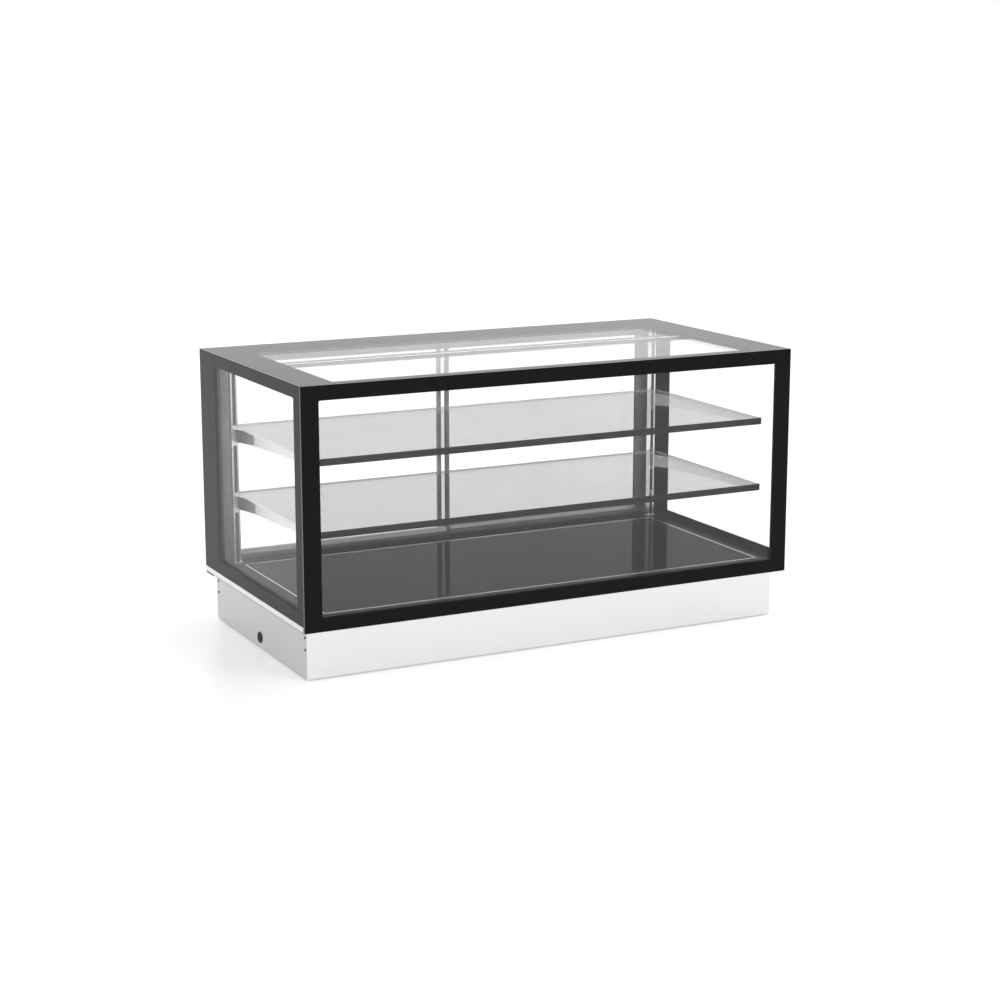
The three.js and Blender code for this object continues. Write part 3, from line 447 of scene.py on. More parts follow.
class Form:
    """A mesh in the making, in the case's frame."""

    def __init__(self) -> None:
        """Starts with nothing in it."""
        self.mesh = bmesh.new()

    def _bevel(self, edges: Iterable[bmesh.types.BMEdge], width: float, segments: int) -> None:
        """Rounds edges.

        Args:
            edges: the edges.
            width: how far the rounding reaches.
            segments: the steps in it.
        """
        bmesh.ops.bevel(
            self.mesh, geom=list(edges), offset=width, offset_type="OFFSET", segments=segments,
            profile=0.5, affect="EDGES", material=-1, clamp_overlap=True)

    def sharp(self, degrees: float = 35.0) -> list[bmesh.types.BMEdge]:
        """The edges that turn by more than some degrees.

        Args:
            degrees: the least angle between its faces, in degrees.

        Returns:
            The edges that are sharper.
        """
        limit = math.radians(degrees)
        return [
            e for e in self.mesh.edges
            if len(e.link_faces) == 2 and e.calc_face_angle() > limit
        ]

    def block(self, low: Point, high: Point, bevel: float = 0.4 * MM, segments: int = 2) -> Form:
        """Adds a bevelled block.

        Args:
            low: its lowest corner.
            high: its highest corner.
            bevel: how far its edges are rounded.
            segments: the steps in them.

        Returns:
            This form.
        """
        size = Vector(high) - Vector(low)
        middle = (Vector(high) + Vector(low)) / 2
        place = Matrix.Translation(middle) @ Matrix.Diagonal((*size, 1.0))
        made = bmesh.ops.create_cube(self.mesh, size=1.0, matrix=place)["verts"]
        if bevel > 0:
            self._bevel({edge for vert in made for edge in vert.link_edges}, bevel, segments)
        return self

    def turned(
        self, profile: Sequence[tuple[float, float]], axis: Axis, base: Point, steps: int = 48,
    ) -> Form:
        """Adds a turned form.

        Args:
            profile: [radius, distance along the axis] points, from axis to axis.
            axis: the axis it turns about.
            base: where distance 0 lies.
            steps: the steps in a full turn.

        Returns:
            This form.
        """
        part = bmesh.new()
        points = [part.verts.new((radius, 0.0, along)) for radius, along in profile]
        edges = [part.edges.new(pair) for pair in zip(points, points[1:])]
        bmesh.ops.spin(
            part, geom=points + edges, axis=(0, 0, 1), cent=(0, 0, 0),
            angle=2 * math.pi, steps=steps, use_merge=True)
        bmesh.ops.remove_doubles(part, verts=part.verts, dist=1e-6)
        bmesh.ops.recalc_face_normals(part, faces=part.faces)
        bmesh.ops.transform(part, matrix=Matrix.Translation(base) @ axis.value, verts=part.verts)
        return self.take(part)

    def prism(self, outline: Sequence[Point], run: Point) -> Form:
        """Adds a prism.

        Args:
            outline: the corners of its first face, in order.
            run: from its first face to its last one.

        Returns:
            This form.
        """
        part = bmesh.new()
        face = part.faces.new([part.verts.new(point) for point in outline])
        far = bmesh.ops.extrude_face_region(part, geom=[face], use_keep_orig=True)["geom"]
        moved = [item for item in far if isinstance(item, bmesh.types.BMVert)]
        bmesh.ops.translate(part, vec=run, verts=moved)
        bmesh.ops.recalc_face_normals(part, faces=part.faces)
        return self.take(part)

    def take(self, part: bmesh.types.BMesh) -> Form:
        """Moves another bmesh into this one and frees it.

        Args:
            part: the other bmesh.

        Returns:
            This form.
        """
        carrier = bpy.data.meshes.new("carrier")
        part.to_mesh(carrier)
        part.free()
        self.mesh.from_mesh(carrier)
        bpy.data.meshes.remove(carrier)
        return self

    def round_edges(self, width: float, segments: int = 2, degrees: float = 35.0) -> Form:
        """Rounds every sharp edge.

        Args:
            width: how far the rounding reaches.
            segments: the steps in it.
            degrees: the least turn that counts as sharp.

        Returns:
            This form.
        """
        self._bevel(self.sharp(degrees), width, segments)
        return self

    def piece(
        self,
        name: str,
        slot: str,
        materials: Sequence[Recipe],
        body: str = ROOT,
        stands_for: Sequence[str] = (),
        smooth: bool = False,
    ) -> bpy.types.Object:
        """slot: the name of a material slot, which is not used.

        Args:
            name: the piece's name.
            slot: the material slot it takes its finish from.
            materials: its finishes, in the order of its faces' indices.
            body: the body it rides on.
            stands_for: the nodes that it replaces.
            smooth: whether round stretches are shaded smooth.

        Returns:
            The piece.
        """
        data = bpy.data.meshes.new(name)
        self.mesh.to_mesh(data)
        self.mesh.free()
        for recipe in materials:
            data.materials.append(FINISHES.get(recipe))
        made = bpy.data.objects.new(name, data)
        bpy.context.scene.collection.objects.link(made)
        if smooth:
            data.shade_smooth()
            data.set_sharp_from_angle(angle=math.radians(32))
        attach(made, body)
        if stands_for:
            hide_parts(*stands_for)
        LOG.info("made %s on %s", name, body)
        return made


def dress(node: str, recipe: Recipe, bevel: float = 0.35 * MM) -> None:
    """Gives a node of the frame its finish and rounds its edges.

    Args:
        node: the node's name.
        recipe: its finish.
        bevel: how far its edges are rounded.
    """
    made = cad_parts[node]
    made.material_slots[0].material = FINISHES.get(recipe)
    weld = made.modifiers.new("weld", "WELD")
    weld.merge_threshold = 0.01 * MM
    edges = made.modifiers.new("edges", "BEVEL")
    edges.width = bevel
    edges.segments = 2
    edges.limit_method = "ANGLE"
    edges.angle_limit = math.radians(30)
    LOG.info("dressed %s", node)


# ------------------------------------------------------------------ glass


class Facing(Enum):
    """The plane that a pane lies in: its two own axes and the axis through its thickness."""

    XZ = (0, 2, 1)
    YZ = (1, 2, 0)
    XY = (0, 1, 2)


@dataclass
class Pane:
    """A glass slab with a clear window in a black border, or clear all over."""

    name: str
    plane: Facing
    low: Vector
    high: Vector
    window: tuple[tuple[float, float], tuple[float, float]] | None = None
    corner: float = 4 * MM
    arris: float = 0.8 * MM

    def _sheet(self, spans: Sequence[tuple[float, float]]) -> bmesh.types.BMesh:
        """A flat rectangle on the low side of the slab.

        Args:
            spans: its reach along each of the pane's two own axes.

        Returns:
            The rectangle, with one face.
        """
        first, second, through = self.plane.value
        sheet = bmesh.new()
        corners = []
        for a, b in ((0, 0), (1, 0), (1, 1), (0, 1)):
            point = Vector((0.0, 0.0, 0.0))
            point[first] = spans[0][a]
            point[second] = spans[1][b]
            point[through] = self.low[through]
            corners.append(sheet.verts.new(point))
        sheet.faces.new(corners)
        return sheet

    def _border(self, sheet: bmesh.types.BMesh) -> None:
        """Rounds the window's corners and grows the border out to the pane's edges.

        Args:
            sheet: the window's face, which gains the border.
        """
        bmesh.ops.bevel(
            sheet, geom=list(sheet.verts), offset=self.corner, offset_type="OFFSET", segments=5,
            profile=0.5, affect="VERTICES", material=-1)
        sheet.faces.ensure_lookup_table()
        rim = [edge for edge in sheet.edges if edge.is_boundary]
        grown = bmesh.ops.extrude_edge_only(sheet, edges=rim)["geom"]
        first, second, _ = self.plane.value
        for vert in (item for item in grown if isinstance(item, bmesh.types.BMVert)):
            for axis, span in zip((first, second), self.window):
                near_low = vert.co[axis] < sum(span) / 2
                vert.co[axis] = self.low[axis] if near_low else self.high[axis]
        for face in (item for item in grown if isinstance(item, bmesh.types.BMFace)):
            face.material_index = 1
        bmesh.ops.remove_doubles(sheet, verts=sheet.verts, dist=1e-6)

    def form(self) -> Form:
        """Makes the slab.

        Returns:
            The slab, with clear faces 0, border faces 1 and edge faces 2.
        """
        first, second, through = self.plane.value
        whole = [(self.low[axis], self.high[axis]) for axis in (first, second)]
        sheet = self._sheet(self.window or whole)
        if self.window:
            self._border(sheet)
        run = Vector((0.0, 0.0, 0.0))
        run[through] = self.high[through] - self.low[through]
        faces = list(sheet.faces)
        far = bmesh.ops.extrude_face_region(sheet, geom=faces, use_keep_orig=True)["geom"]
        moved = [item for item in far if isinstance(item, bmesh.types.BMVert)]
        bmesh.ops.translate(sheet, vec=run, verts=moved)
        bmesh.ops.remove_doubles(sheet, verts=sheet.verts, dist=1e-6)
        bmesh.ops.recalc_face_normals(sheet, faces=sheet.faces)
        for face in sheet.faces:
            if abs(face.normal[through]) < 0.5:
                face.material_index = 2
        made = Form()
        made.take(sheet)
        return made.round_edges(self.arris)


@dataclass
class GlassShell:
    """The four bonded panes with their black borders."""

    front_border: tuple[float, float, float] = (45 * MM, 34 * MM, 36 * MM)
    side_border: tuple[float, float, float, float] = (45 * MM, 107 * MM, 33 * MM, 32 * MM)
    top_border: tuple[float, float, float] = (94 * MM, 36 * MM, 90 * MM)
    bead: float = 3 * MM
    bead_steps: int = 5

    def build(self) -> None:
        """Makes the panes and the silicone between them."""
        self._front()
        self._top()
        for side, sign in SIDES:
            self._side(side)
            self._corner_bead(side, sign)

    def _pane(self, name: str, plane: Facing, window: tuple, nodes: Sequence[str]) -> None:
        """Makes one bordered pane in the place of its glass and its band.

        Args:
            name: the piece's name.
            plane: the plane it lies in.
            window: the clear part's reach along the plane's two axes.
            nodes: the glass node and the band node.
        """
        low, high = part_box(nodes[0])
        pane = Pane(name, plane, low, high, window)
        pane.form().piece(name, "clear_glass", (PANE, ENAMEL, DARK_EDGE), stands_for=nodes)

    def _front(self) -> None:
        """The front pane, whose border is given as side, bottom and top."""
        low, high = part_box("front_glass")
        side, bottom, top = self.front_border
        window = ((low.x + side, high.x - side), (low.z + bottom, high.z - top))
        self._pane("front_pane", Facing.XZ, window, ("front_glass", "front_border_band"))

    def _side(self, side: str) -> None:
        """A side pane, whose wide rear border hides the rear frame.

        Args:
            side: left or right; its border is given as front, rear, bottom and top.
        """
        case_low, case_high = CAD_BOX
        low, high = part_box(f"{side}_side_glass")
        front, rear, bottom, top = self.side_border
        window = ((case_low.y + front, case_high.y - rear), (low.z + bottom, high.z - top))
        self._pane(
            f"{side}_side_pane", Facing.YZ, window, (f"{side}_side_glass", f"{side}_border_band"))

    def _top(self) -> None:
        """The top pane, whose border is given as side, front and rear."""
        case_low, case_high = CAD_BOX
        side, front, rear = self.top_border
        window = (
            (case_low.x + side, case_high.x - side), (case_low.y + front, case_high.y - rear))
        self._pane("top_pane", Facing.XY, window, ("top_glass", "top_border_band"))

    def _corner_bead(self, side: str, sign: int) -> None:
        """A fillet of silicone down the inside of a front corner.

        Args:
            side: left or right.
            sign: the side's direction along X.
        """
        band_low, band_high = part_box("front_border_band")
        deck_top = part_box("deck_surround")[1].z
        x = sign * band_high.x
        y = band_high.y
        turn = math.pi / 2 / self.bead_steps
        curve = []
        for step in range(self.bead_steps + 1):
            inward = self.bead * (1 - math.sin(step * turn))
            back = self.bead * (1 - math.cos(step * turn))
            curve.append((x - sign * inward, y + back))
        outline = [(x, y, deck_top), *((a, b, deck_top) for a, b in curve)]
        run = (0.0, 0.0, band_high.z - deck_top - 1 * MM)
        Form().prism(outline, run).piece(f"{side}_corner_silicone", "rubber", (SILICONE,))


@dataclass
class ClearSheet:
    """A plain glass sheet, such as a shelf or a door's pane."""

    node: str
    plane: Facing
    body: str = ROOT
    glass: ClearPane = PANE
    arris: float = 0.6 * MM

    def build(self) -> None:
        """Makes the sheet in the place of its node."""
        low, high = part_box(self.node)
        form = Pane(self.node, self.plane, low, high, arris=self.arris).form()
        # the sheet's edges take the pale painted highlight
        form.piece(
            f"{self.node}_sheet", "clear_glass", (self.glass, ENAMEL, GLASS_EDGE_HIGHLIGHT), self.body,
            (self.node,))


# ------------------------------------------------------------------ fixings


@dataclass
class Screw:
    """A small pan-head screw with a cross recess."""

    radius: float = 3.2 * MM
    height: float = 1.6 * MM
    recess: float = 0.7 * MM
    sides: int = 16
    steps: tuple[tuple[float, float], ...] = ((0.0, 0.5), (0.12, 0.35), (0.28, 0.15))
    arm: float = 0.42

    def form(self, axis: Axis, base: Point, flip: bool = False) -> Form:
        """The screw's head.

        Args:
            axis: the axis it points along.
            base: the middle of its underside.
            flip: whether it points down the axis.

        Returns:
            The head.
        """
        part = bmesh.new()
        bmesh.ops.create_circle(part, cap_ends=True, segments=self.sides, radius=self.radius)
        top = list(part.faces)
        for inset, rise in self.steps:
            if inset:
                bmesh.ops.inset_individual(
                    part, faces=top, thickness=self.radius * inset, use_even_offset=True)
            else:
                top = bmesh.ops.extrude_discrete_faces(part, faces=top)["faces"]
            verts = [vert for face in top for vert in face.verts]
            bmesh.ops.translate(part, vec=(0, 0, self.height * rise), verts=verts)
        self._cross(part, top[0])
        turn = Matrix.Rotation(math.pi, 4, "X") if flip else Matrix.Identity(4)
        place = Matrix.Translation(base) @ axis.value @ turn
        bmesh.ops.transform(part, matrix=place, verts=part.verts)
        return Form().take(part)

    def _cross(self, part: bmesh.types.BMesh, face: bmesh.types.BMFace) -> None:
        """Sinks a four-armed recess into the head's flat face.

        Args:
            part: the head.
            face: its flat face, whose corners are two to an arm and two between arms.
        """
        bmesh.ops.inset_individual(
            part, faces=[face], thickness=self.radius * 0.1, use_even_offset=True)
        centre = face.calc_center_median()
        for index, vert in enumerate(face.verts):
            if index % 4 >= 2:
                vert.co = centre + (vert.co - centre) * self.arm
        bmesh.ops.inset_individual(part, faces=[face], thickness=0.02 * MM, use_even_offset=True)
        bmesh.ops.translate(part, vec=(0, 0, -self.recess), verts=list(face.verts))


# ------------------------------------------------------------------ rear frame and doors


@dataclass
class RearFrame:
    """The frame round the doors, its uprights and its bumpers."""

    bumper_radius: float = 4.5 * MM
    bumper_heights: tuple[float, ...] = (260 * MM, 620 * MM)
    foot: float = 3 * MM
    foot_margin: float = 3 * MM
    shade_strip_width: float = 9 * MM
    shade_strip_rise: float = 0.5 * MM
    shade_strip_end: float = 2 * MM
    bracket_clear: float = 1 * MM

    def build(self) -> None:
        """Dresses the profiles and adds the small pieces."""
        dress("rear_top_rail", anodised(Grain.X))
        dress("rear_bottom_track", anodised(Grain.X))
        for side, sign in SIDES:
            dress(f"rear_{side}_post", anodised(Grain.Z))
            dress(f"{side}_shelf_upright", steel(Grain.Z), 0.3 * MM)
            self._bumpers(side, sign)
            self._upright_foot(side)
            self._upright_shade_strip(side)

    def _bumpers(self, side: str, sign: int) -> None:
        """Rubber stops on a post, in the plane of the door that closes on it.

        Args:
            side: left or right.
            sign: the side's direction along X.
        """
        post_low, post_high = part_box(f"rear_{side}_post")
        door_low, door_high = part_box(f"{side}_door_outer_stile")
        face = post_high.x if sign < 0 else post_low.x
        reach = (door_low.x - face if sign < 0 else face - door_high.x) - 0.3 * MM
        form = Form()
        for z in self.bumper_heights:
            round_edge = reach * 0.4
            profile = [
                (0, 0), (self.bumper_radius, 0), (self.bumper_radius, reach - round_edge),
                (self.bumper_radius - round_edge, reach), (0, reach)]
            along = [(radius, -sign * height) for radius, height in profile]
            form.turned(along, Axis.X, (face, (door_low.y + door_high.y) / 2, z), 24)
        form.piece(f"{side}_door_bumpers", "rubber", (RUBBER,), smooth=True)

    def _upright_shade_strip(self, side: str) -> None:
        """A black strip down the face of an upright, between its two bright edges: painted shade
        standing in for the shadow inside the upright's channel.

        Args:
            side: left or right.
        """
        low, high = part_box(f"{side}_shelf_upright")
        middle = (low.x + high.x) / 2
        half = self.shade_strip_width / 2
        front = low.y - self.shade_strip_rise
        # black blocks down the upright's face as painted shade, broken where the brackets meet it
        form = Form()
        gaps = self._bracket_gaps()
        starts = [low.z + self.shade_strip_end, *(top for _, top in gaps)]
        ends = [*(bottom for bottom, _ in gaps), high.z - self.shade_strip_end]
        for start, end in zip(starts, ends):
            form.block((middle - half, front, start), (middle + half, low.y, end), 0.2 * MM)
        form.piece(f"{side}_upright_shade_strip", "black_plastic", (BLACK_PLASTIC,))

    def _bracket_gaps(self) -> list[tuple[float, float]]:
        """Finds where the brackets meet the uprights.

        Returns:
            The bottom and top of each gap in the painted shade strip, from the lowest up.
        """
        gaps = []
        for level in ("lower", "upper"):
            low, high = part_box(f"{level}_shelf_left_bracket")
            gaps.append((low.z - self.bracket_clear, high.z + self.bracket_clear))
        return gaps

    def _upright_foot(self, side: str) -> None:
        """The bright foot plate that an upright stands in.

        Args:
            side: left or right.
        """
        low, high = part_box(f"{side}_shelf_upright")
        margin = self.foot_margin
        form = Form()
        base = low.z
        front = (low.x - margin, low.y - margin, base)
        form.block(front, (high.x + margin, low.y - 0.3 * MM, base + self.foot * 2))
        for x0, x1 in ((low.x - margin, low.x - 0.3 * MM), (high.x + 0.3 * MM, high.x + margin)):
            form.block((x0, low.y + 0.1 * MM, base), (x1, high.y, base + self.foot))
        form.piece(f"{side}_upright_foot", "brushed_steel", (steel(Grain.X),))


@dataclass
class SlidingDoor:
    """One rear door: stiles, glass, glide, finger pull and, on the left door, the pile seal."""

    side: str
    sign: int
    pull_half: float = 9 * MM
    pull_foot: float = 2.5 * MM
    pull_reach: float = 14 * MM
    curve_steps: int = 10
    cap_inset: float = 2 * MM
    cap_rise: float = 1 * MM
    pile_half: float = 3 * MM
    pile_end: float = 2 * MM

    def build(self) -> None:
        """Makes and dresses the door."""
        body = f"{self.side}_door"
        for part in ("outer", "inner"):
            dress(f"{body}_{part}_stile", anodised(Grain.Z))
        dress(f"{body}_glide_shoe", NYLON, 0.3 * MM)
        ClearSheet(f"{body}_glass", Facing.XZ, body).build()
        self._pull(body)
        self._rail_caps(body)
        if self.sign < 0:
            self._pile(body)

    def _curve(self, start: Point, handle: Point, end: Point) -> list[tuple[float, float]]:
        """A smooth curve between two ends.

        Args:
            start: its first end.
            handle: the point it bends towards.
            end: its last end.

        Returns:
            Its points, after the first one.
        """
        points = []
        for step in range(1, self.curve_steps + 1):
            t = step / self.curve_steps
            points.append(tuple(
                (1 - t) ** 2 * a + 2 * t * (1 - t) * b + t * t * c
                for a, b, c in zip(start, handle, end)))
        return points

    def _pull(self, body: str) -> None:
        """The finger pull, with its lip curling away from the stile.

        Args:
            body: the door's body.
        """
        low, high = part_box(f"{body}_handle")
        middle = (low.x + high.x) / 2
        lip = (-1 * MM, self.pull_reach - 1.5 * MM)
        tip = (-3.5 * MM, self.pull_reach)
        inner = (-3 * MM, self.pull_foot)
        shape = [(self.pull_half, 0.0), (self.pull_half, self.pull_foot), inner]
        shape += self._curve(inner, (-6 * MM, 7 * MM), lip)
        shape += [tip, *self._curve(tip, (-self.pull_half, 8 * MM), (-self.pull_half, 0.0))]
        outline = [(middle + self.sign * across, low.y + out, low.z) for across, out in shape]
        form = Form().prism(outline, (0, 0, high.z - low.z)).round_edges(0.5 * MM, 2)
        form.piece(
            f"{body}_finger_pull", "anodised", (anodised(Grain.Z),), body, (f"{body}_handle",))

    def _rail_caps(self, body: str) -> None:
        """Black plugs in the ends of the two stiles.

        Args:
            body: the door's body.
        """
        form = Form()
        for part in ("outer", "inner"):
            low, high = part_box(f"{body}_{part}_stile")
            inset = self.cap_inset
            form.block(
                (low.x + inset, low.y + inset, high.z),
                (high.x - inset, high.y - inset, high.z + self.cap_rise))
        form.piece(f"{body}_stile_caps", "black_plastic", (BLACK_PLASTIC,), body)

    def _pile(self, body: str) -> None:
        """The pile seal that closes the gap between the doors.

        Args:
            body: the door's body.
        """
        low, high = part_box(f"{body}_inner_stile")
        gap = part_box("right_door_inner_stile")[0].y - high.y
        middle = (low.x + high.x) / 2
        half = self.pile_half
        form = Form().block(
            (middle - half, high.y, low.z + self.pile_end),
            (middle + half, high.y + gap * 0.7, high.z - self.pile_end), 0.8 * MM, 3)
        form.piece(f"{body}_pile_seal", "rubber", (PILE,), body)


# ------------------------------------------------------------------ shelves and lights


@dataclass
class Shelf:
    """A lit glass shelf on its two brackets."""

    level: str
    cap: float = 1.6 * MM
    cheek_skin: float = 0.8 * MM
    cheek_rear: float = 243 * MM
    cheek_knee: float = 160 * MM
    cheek_front: float = 105 * MM
    cheek_drops: tuple[float, ...] = (8 * MM, 2.5 * MM, 2.5 * MM, 26 * MM, 38 * MM)
    stud_y: float = 190 * MM
    stud_drop: float = 16 * MM
    stud_radius: float = 2.7 * MM
    stud_length: float = 5 * MM

    def build(self) -> None:
        """Makes and dresses the shelf."""
        ClearSheet(f"{self.level}_shelf_glass", Facing.XY, glass=SHELF_PANE).build()
        dress(f"{self.level}_shelf_front_strip", black_profile(Grain.X), 0.4 * MM)
        dress(f"{self.level}_shelf_light_lens", SHELF_GLOW, 0.2 * MM)
        for side, sign in SIDES:
            dress(f"{self.level}_shelf_{side}_bracket", steel(Grain.Y), 0.25 * MM)
            self._end_cap(side, sign)
            self._stud(side)
            self._cheek(side, sign)

    def _end_cap(self, side: str, sign: int) -> None:
        """The cap on one end of the lit strip.

        Args:
            side: left or right.
            sign: the side's direction along X.
        """
        low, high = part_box(f"{self.level}_shelf_front_strip")
        end = high.x if sign > 0 else low.x
        span = sorted((end, end + sign * self.cap))
        form = Form().block((span[0], low.y, low.z), (span[1], high.y, high.z), 0.5 * MM, 3)
        form.piece(f"{self.level}_strip_{side}_cap", "black_plastic", (BLACK_PLASTIC,))

    def _cheek(self, side: str, sign: int) -> None:
        """The dark plate over the root of a bracket, on its outer face.

        Args:
            side: left or right.
            sign: the side's direction along X.
        """
        low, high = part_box(f"{self.level}_shelf_{side}_bracket")
        face = low.x if sign < 0 else high.x
        depths = (
            self.cheek_rear, self.cheek_knee, self.cheek_front, self.cheek_front, self.cheek_rear)
        outline = [(face, y, high.z - drop) for y, drop in zip(depths, self.cheek_drops)]
        run = (sign * self.cheek_skin, 0.0, 0.0)
        form = Form().prism(outline, run).round_edges(0.25 * MM)
        form.piece(f"{self.level}_bracket_{side}_cheek", "anodised", (anodised(Grain.Y),))

    def _stud(self, side: str) -> None:
        """The bright stud through a bracket.

        Args:
            side: left or right.
        """
        low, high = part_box(f"{self.level}_shelf_{side}_bracket")
        radius = self.stud_radius
        length = self.stud_length
        edge = 0.6 * MM
        profile = [
            (0, 0), (radius, 0), (radius, length - edge), (radius - edge, length), (0, length),
        ]
        place = ((low.x + high.x) / 2 - length / 2, self.stud_y, high.z - self.stud_drop)
        Form().turned(profile, Axis.X, place, 24).piece(
            f"{self.level}_bracket_{side}_stud", "brushed_steel", (steel(Grain.X),), smooth=True)


@dataclass
class CeilingLight:
    """The light under the top pane, with a visor over the upper part of its lens."""

    visor_front: float = 1.6 * MM
    visor_clear: float = 0.2 * MM
    visor_drop: float = 9.5 * MM
    visor_rise: float = 0.5 * MM

    def build(self) -> None:
        """Makes and dresses the light."""
        dress("top_light_profile", black_profile(Grain.X), 0.4 * MM)
        dress("top_light_lens", TOP_GLOW, 0.2 * MM)
        low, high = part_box("top_light_lens")
        visor = Form().block(
            (low.x, low.y - self.visor_front, high.z - self.visor_drop),
            (high.x, low.y - self.visor_clear, high.z + self.visor_rise), 0.3 * MM)
        visor.piece("top_light_visor", "anodised", (black_profile(Grain.X),))


# ------------------------------------------------------------------ deck and plinth


@dataclass
class HeatedDeck:
    """The heated deck and what lies under it."""

    edge: float = 0.4 * MM
    glass_edge: float = 0.5 * MM
    wool_edge: float = 1.5 * MM

    def build(self) -> None:
        """Dresses the deck."""
        dress("base_flange", steel(Grain.X), self.glass_edge)
        dress("deck_surround", DECK_ENAMEL, self.edge)
        dress("deck_trim_ring", steel(Grain.X), self.edge)
        dress("ceramic_deck", CERAMIC, self.glass_edge)
        dress("deck_heater", foil(Grain.X), self.edge)
        dress("deck_insulation", WOOL, self.wool_edge)


@dataclass
class Plinth:
    """The stainless plinth with its screws, gland and feet."""

    screw_from_edge: float = 9.5 * MM
    screw_heights: tuple[float, ...] = (104 * MM, 74 * MM)
    shadow_gasket_height: float = 2.2 * MM
    shadow_gasket_clear: float = 0.4 * MM
    shadow_gasket_inset: float = 1.2 * MM
    ribs: int = 3
    thread: float = 10 * MM
    nut: float = 13 * MM
    nut_span: tuple[float, float] = (1.8 * MM, 7.5 * MM)
    foot_sole: float = 17 * MM
    foot_radius: float = 19 * MM
    foot_stud: float = 4 * MM

    def build(self) -> None:
        """Makes and dresses the plinth."""
        for side in ("front", "rear"):
            dress(f"plinth_{side}_panel", steel(Grain.X), 0.5 * MM)
        for side, sign in SIDES:
            # the side panels take the darker copy of the steel, as painted shade
            dress(f"plinth_{side}_panel", shaded_side_steel(Grain.Y), 0.3 * MM)
            self._side_screws(side, sign)
        dress("base_pan", steel(Grain.X), 0.3 * MM)
        dress("rear_flange_rail", BLACK_PLASTIC, 0.6 * MM)
        self._shadow_gasket()
        dress("terminal_block", CREAM_PLASTIC, 0.5 * MM)
        self._gland()
        for end in ("front", "rear"):
            for side, _ in SIDES:
                self._foot(f"{end}_{side}_foot")

    def _shadow_gasket(self) -> None:
        """A black strip under the flange, along the front and both sides: painted shade for the
        shadow line under the flange's overhang.
        """
        flange_low, flange_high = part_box("base_flange")
        panel_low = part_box("plinth_front_panel")[0]
        rail_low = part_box("rear_flange_rail")[0]
        top = flange_low.z - 0.1 * MM
        bottom = top - self.shadow_gasket_height
        clear = self.shadow_gasket_clear
        inset = self.shadow_gasket_inset
        # the dark strip stands in for the shade under the overhang, as painted shade
        form = Form()
        for side, sign in SIDES:
            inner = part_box(f"plinth_{side}_panel")[1 if sign > 0 else 0].x + sign * clear
            outer = (flange_high.x if sign > 0 else flange_low.x) - sign * inset
            low_x, high_x = sorted((inner, outer))
            form.block(
                (low_x, flange_low.y + inset, bottom), (high_x, rail_low.y - clear, top), 0.3 * MM)
        form.block(
            (panel_low.x, flange_low.y + inset, bottom),
            (-panel_low.x, panel_low.y - clear, top), 0.3 * MM)
        form.piece("flange_shadow_gasket", "rubber", (RUBBER,))

    def _side_screws(self, side: str, sign: int) -> None:
        """Two screws near each end of a side panel.

        Args:
            side: left or right.
            sign: the side's direction along X.
        """
        low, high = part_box(f"plinth_{side}_panel")
        face = high.x if sign > 0 else low.x
        places = [
            (y, z) for y in (low.y + self.screw_from_edge, high.y - self.screw_from_edge)
            for z in self.screw_heights]
        form = Form()
        for y, z in places:
            screw = Screw().form(Axis.X, (face, y, z), flip=sign < 0)
            form.take(screw.mesh)
        form.piece(f"plinth_{side}_screws", "brushed_steel", (dark_screw(Grain.Z),))

    def _gland(self) -> None:
        """The round cable gland, with a ribbed head."""
        low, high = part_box("cable_gland")
        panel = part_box("plinth_left_panel")[0].x
        head = panel - low.x
        radius = (high.y - low.y) / 2
        rib = head / (2 * self.ribs)
        nut_start, nut_end = self.nut_span
        profile = [(0.0, -head), (radius * 0.42, -head), (radius * 0.46, -head + 0.9 * MM)]
        for index in range(self.ribs):
            outward = radius * (0.55 + 0.15 * index)
            profile += [(outward, -head + 0.9 * MM), (outward + rib, -head + 0.1 * MM)]
        profile += [
            (radius - 1.2 * MM, -head + 0.1 * MM), (radius, -head + 1.2 * MM), (radius, -0.3 * MM),
            (self.thread, -0.3 * MM), (self.thread, nut_start), (self.nut, nut_start),
            (self.nut, nut_end), (self.thread, nut_end), (self.thread, high.x - panel),
            (0.0, high.x - panel)]
        centre = (panel, (low.y + high.y) / 2, (low.z + high.z) / 2)
        form = Form().turned(profile, Axis.X, centre, 64)
        form.piece(
            "cable_gland_ribbed", "rubber", (RUBBER,), stands_for=("cable_gland",), smooth=True)

    def _foot(self, node: str) -> None:
        """A turned rubber foot on its stud.

        Args:
            node: the foot's node.
        """
        low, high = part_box(node)
        pan_low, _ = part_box("base_pan")
        shoulder = pan_low.z - 0.3 * MM
        stud = self.foot_stud
        profile = [
            (0.0, 0.0), (self.foot_sole - 0.4 * MM, 0.0), (self.foot_sole, 0.3 * MM),
            (self.foot_radius, 1.2 * MM), (self.foot_radius, shoulder - 0.3 * MM),
            (self.foot_radius - 0.3 * MM, shoulder), (stud, shoulder),
            (stud, high.z - 0.5 * MM), (stud - 0.5 * MM, high.z), (0.0, high.z)]
        centre = ((low.x + high.x) / 2, (low.y + high.y) / 2, 0.0)
        Form().turned(profile, Axis.Z, centre, 48).piece(
            f"{node}_turned", "rubber", (RUBBER,), stands_for=(node,), smooth=True)


# ------------------------------------------------------------------ controls


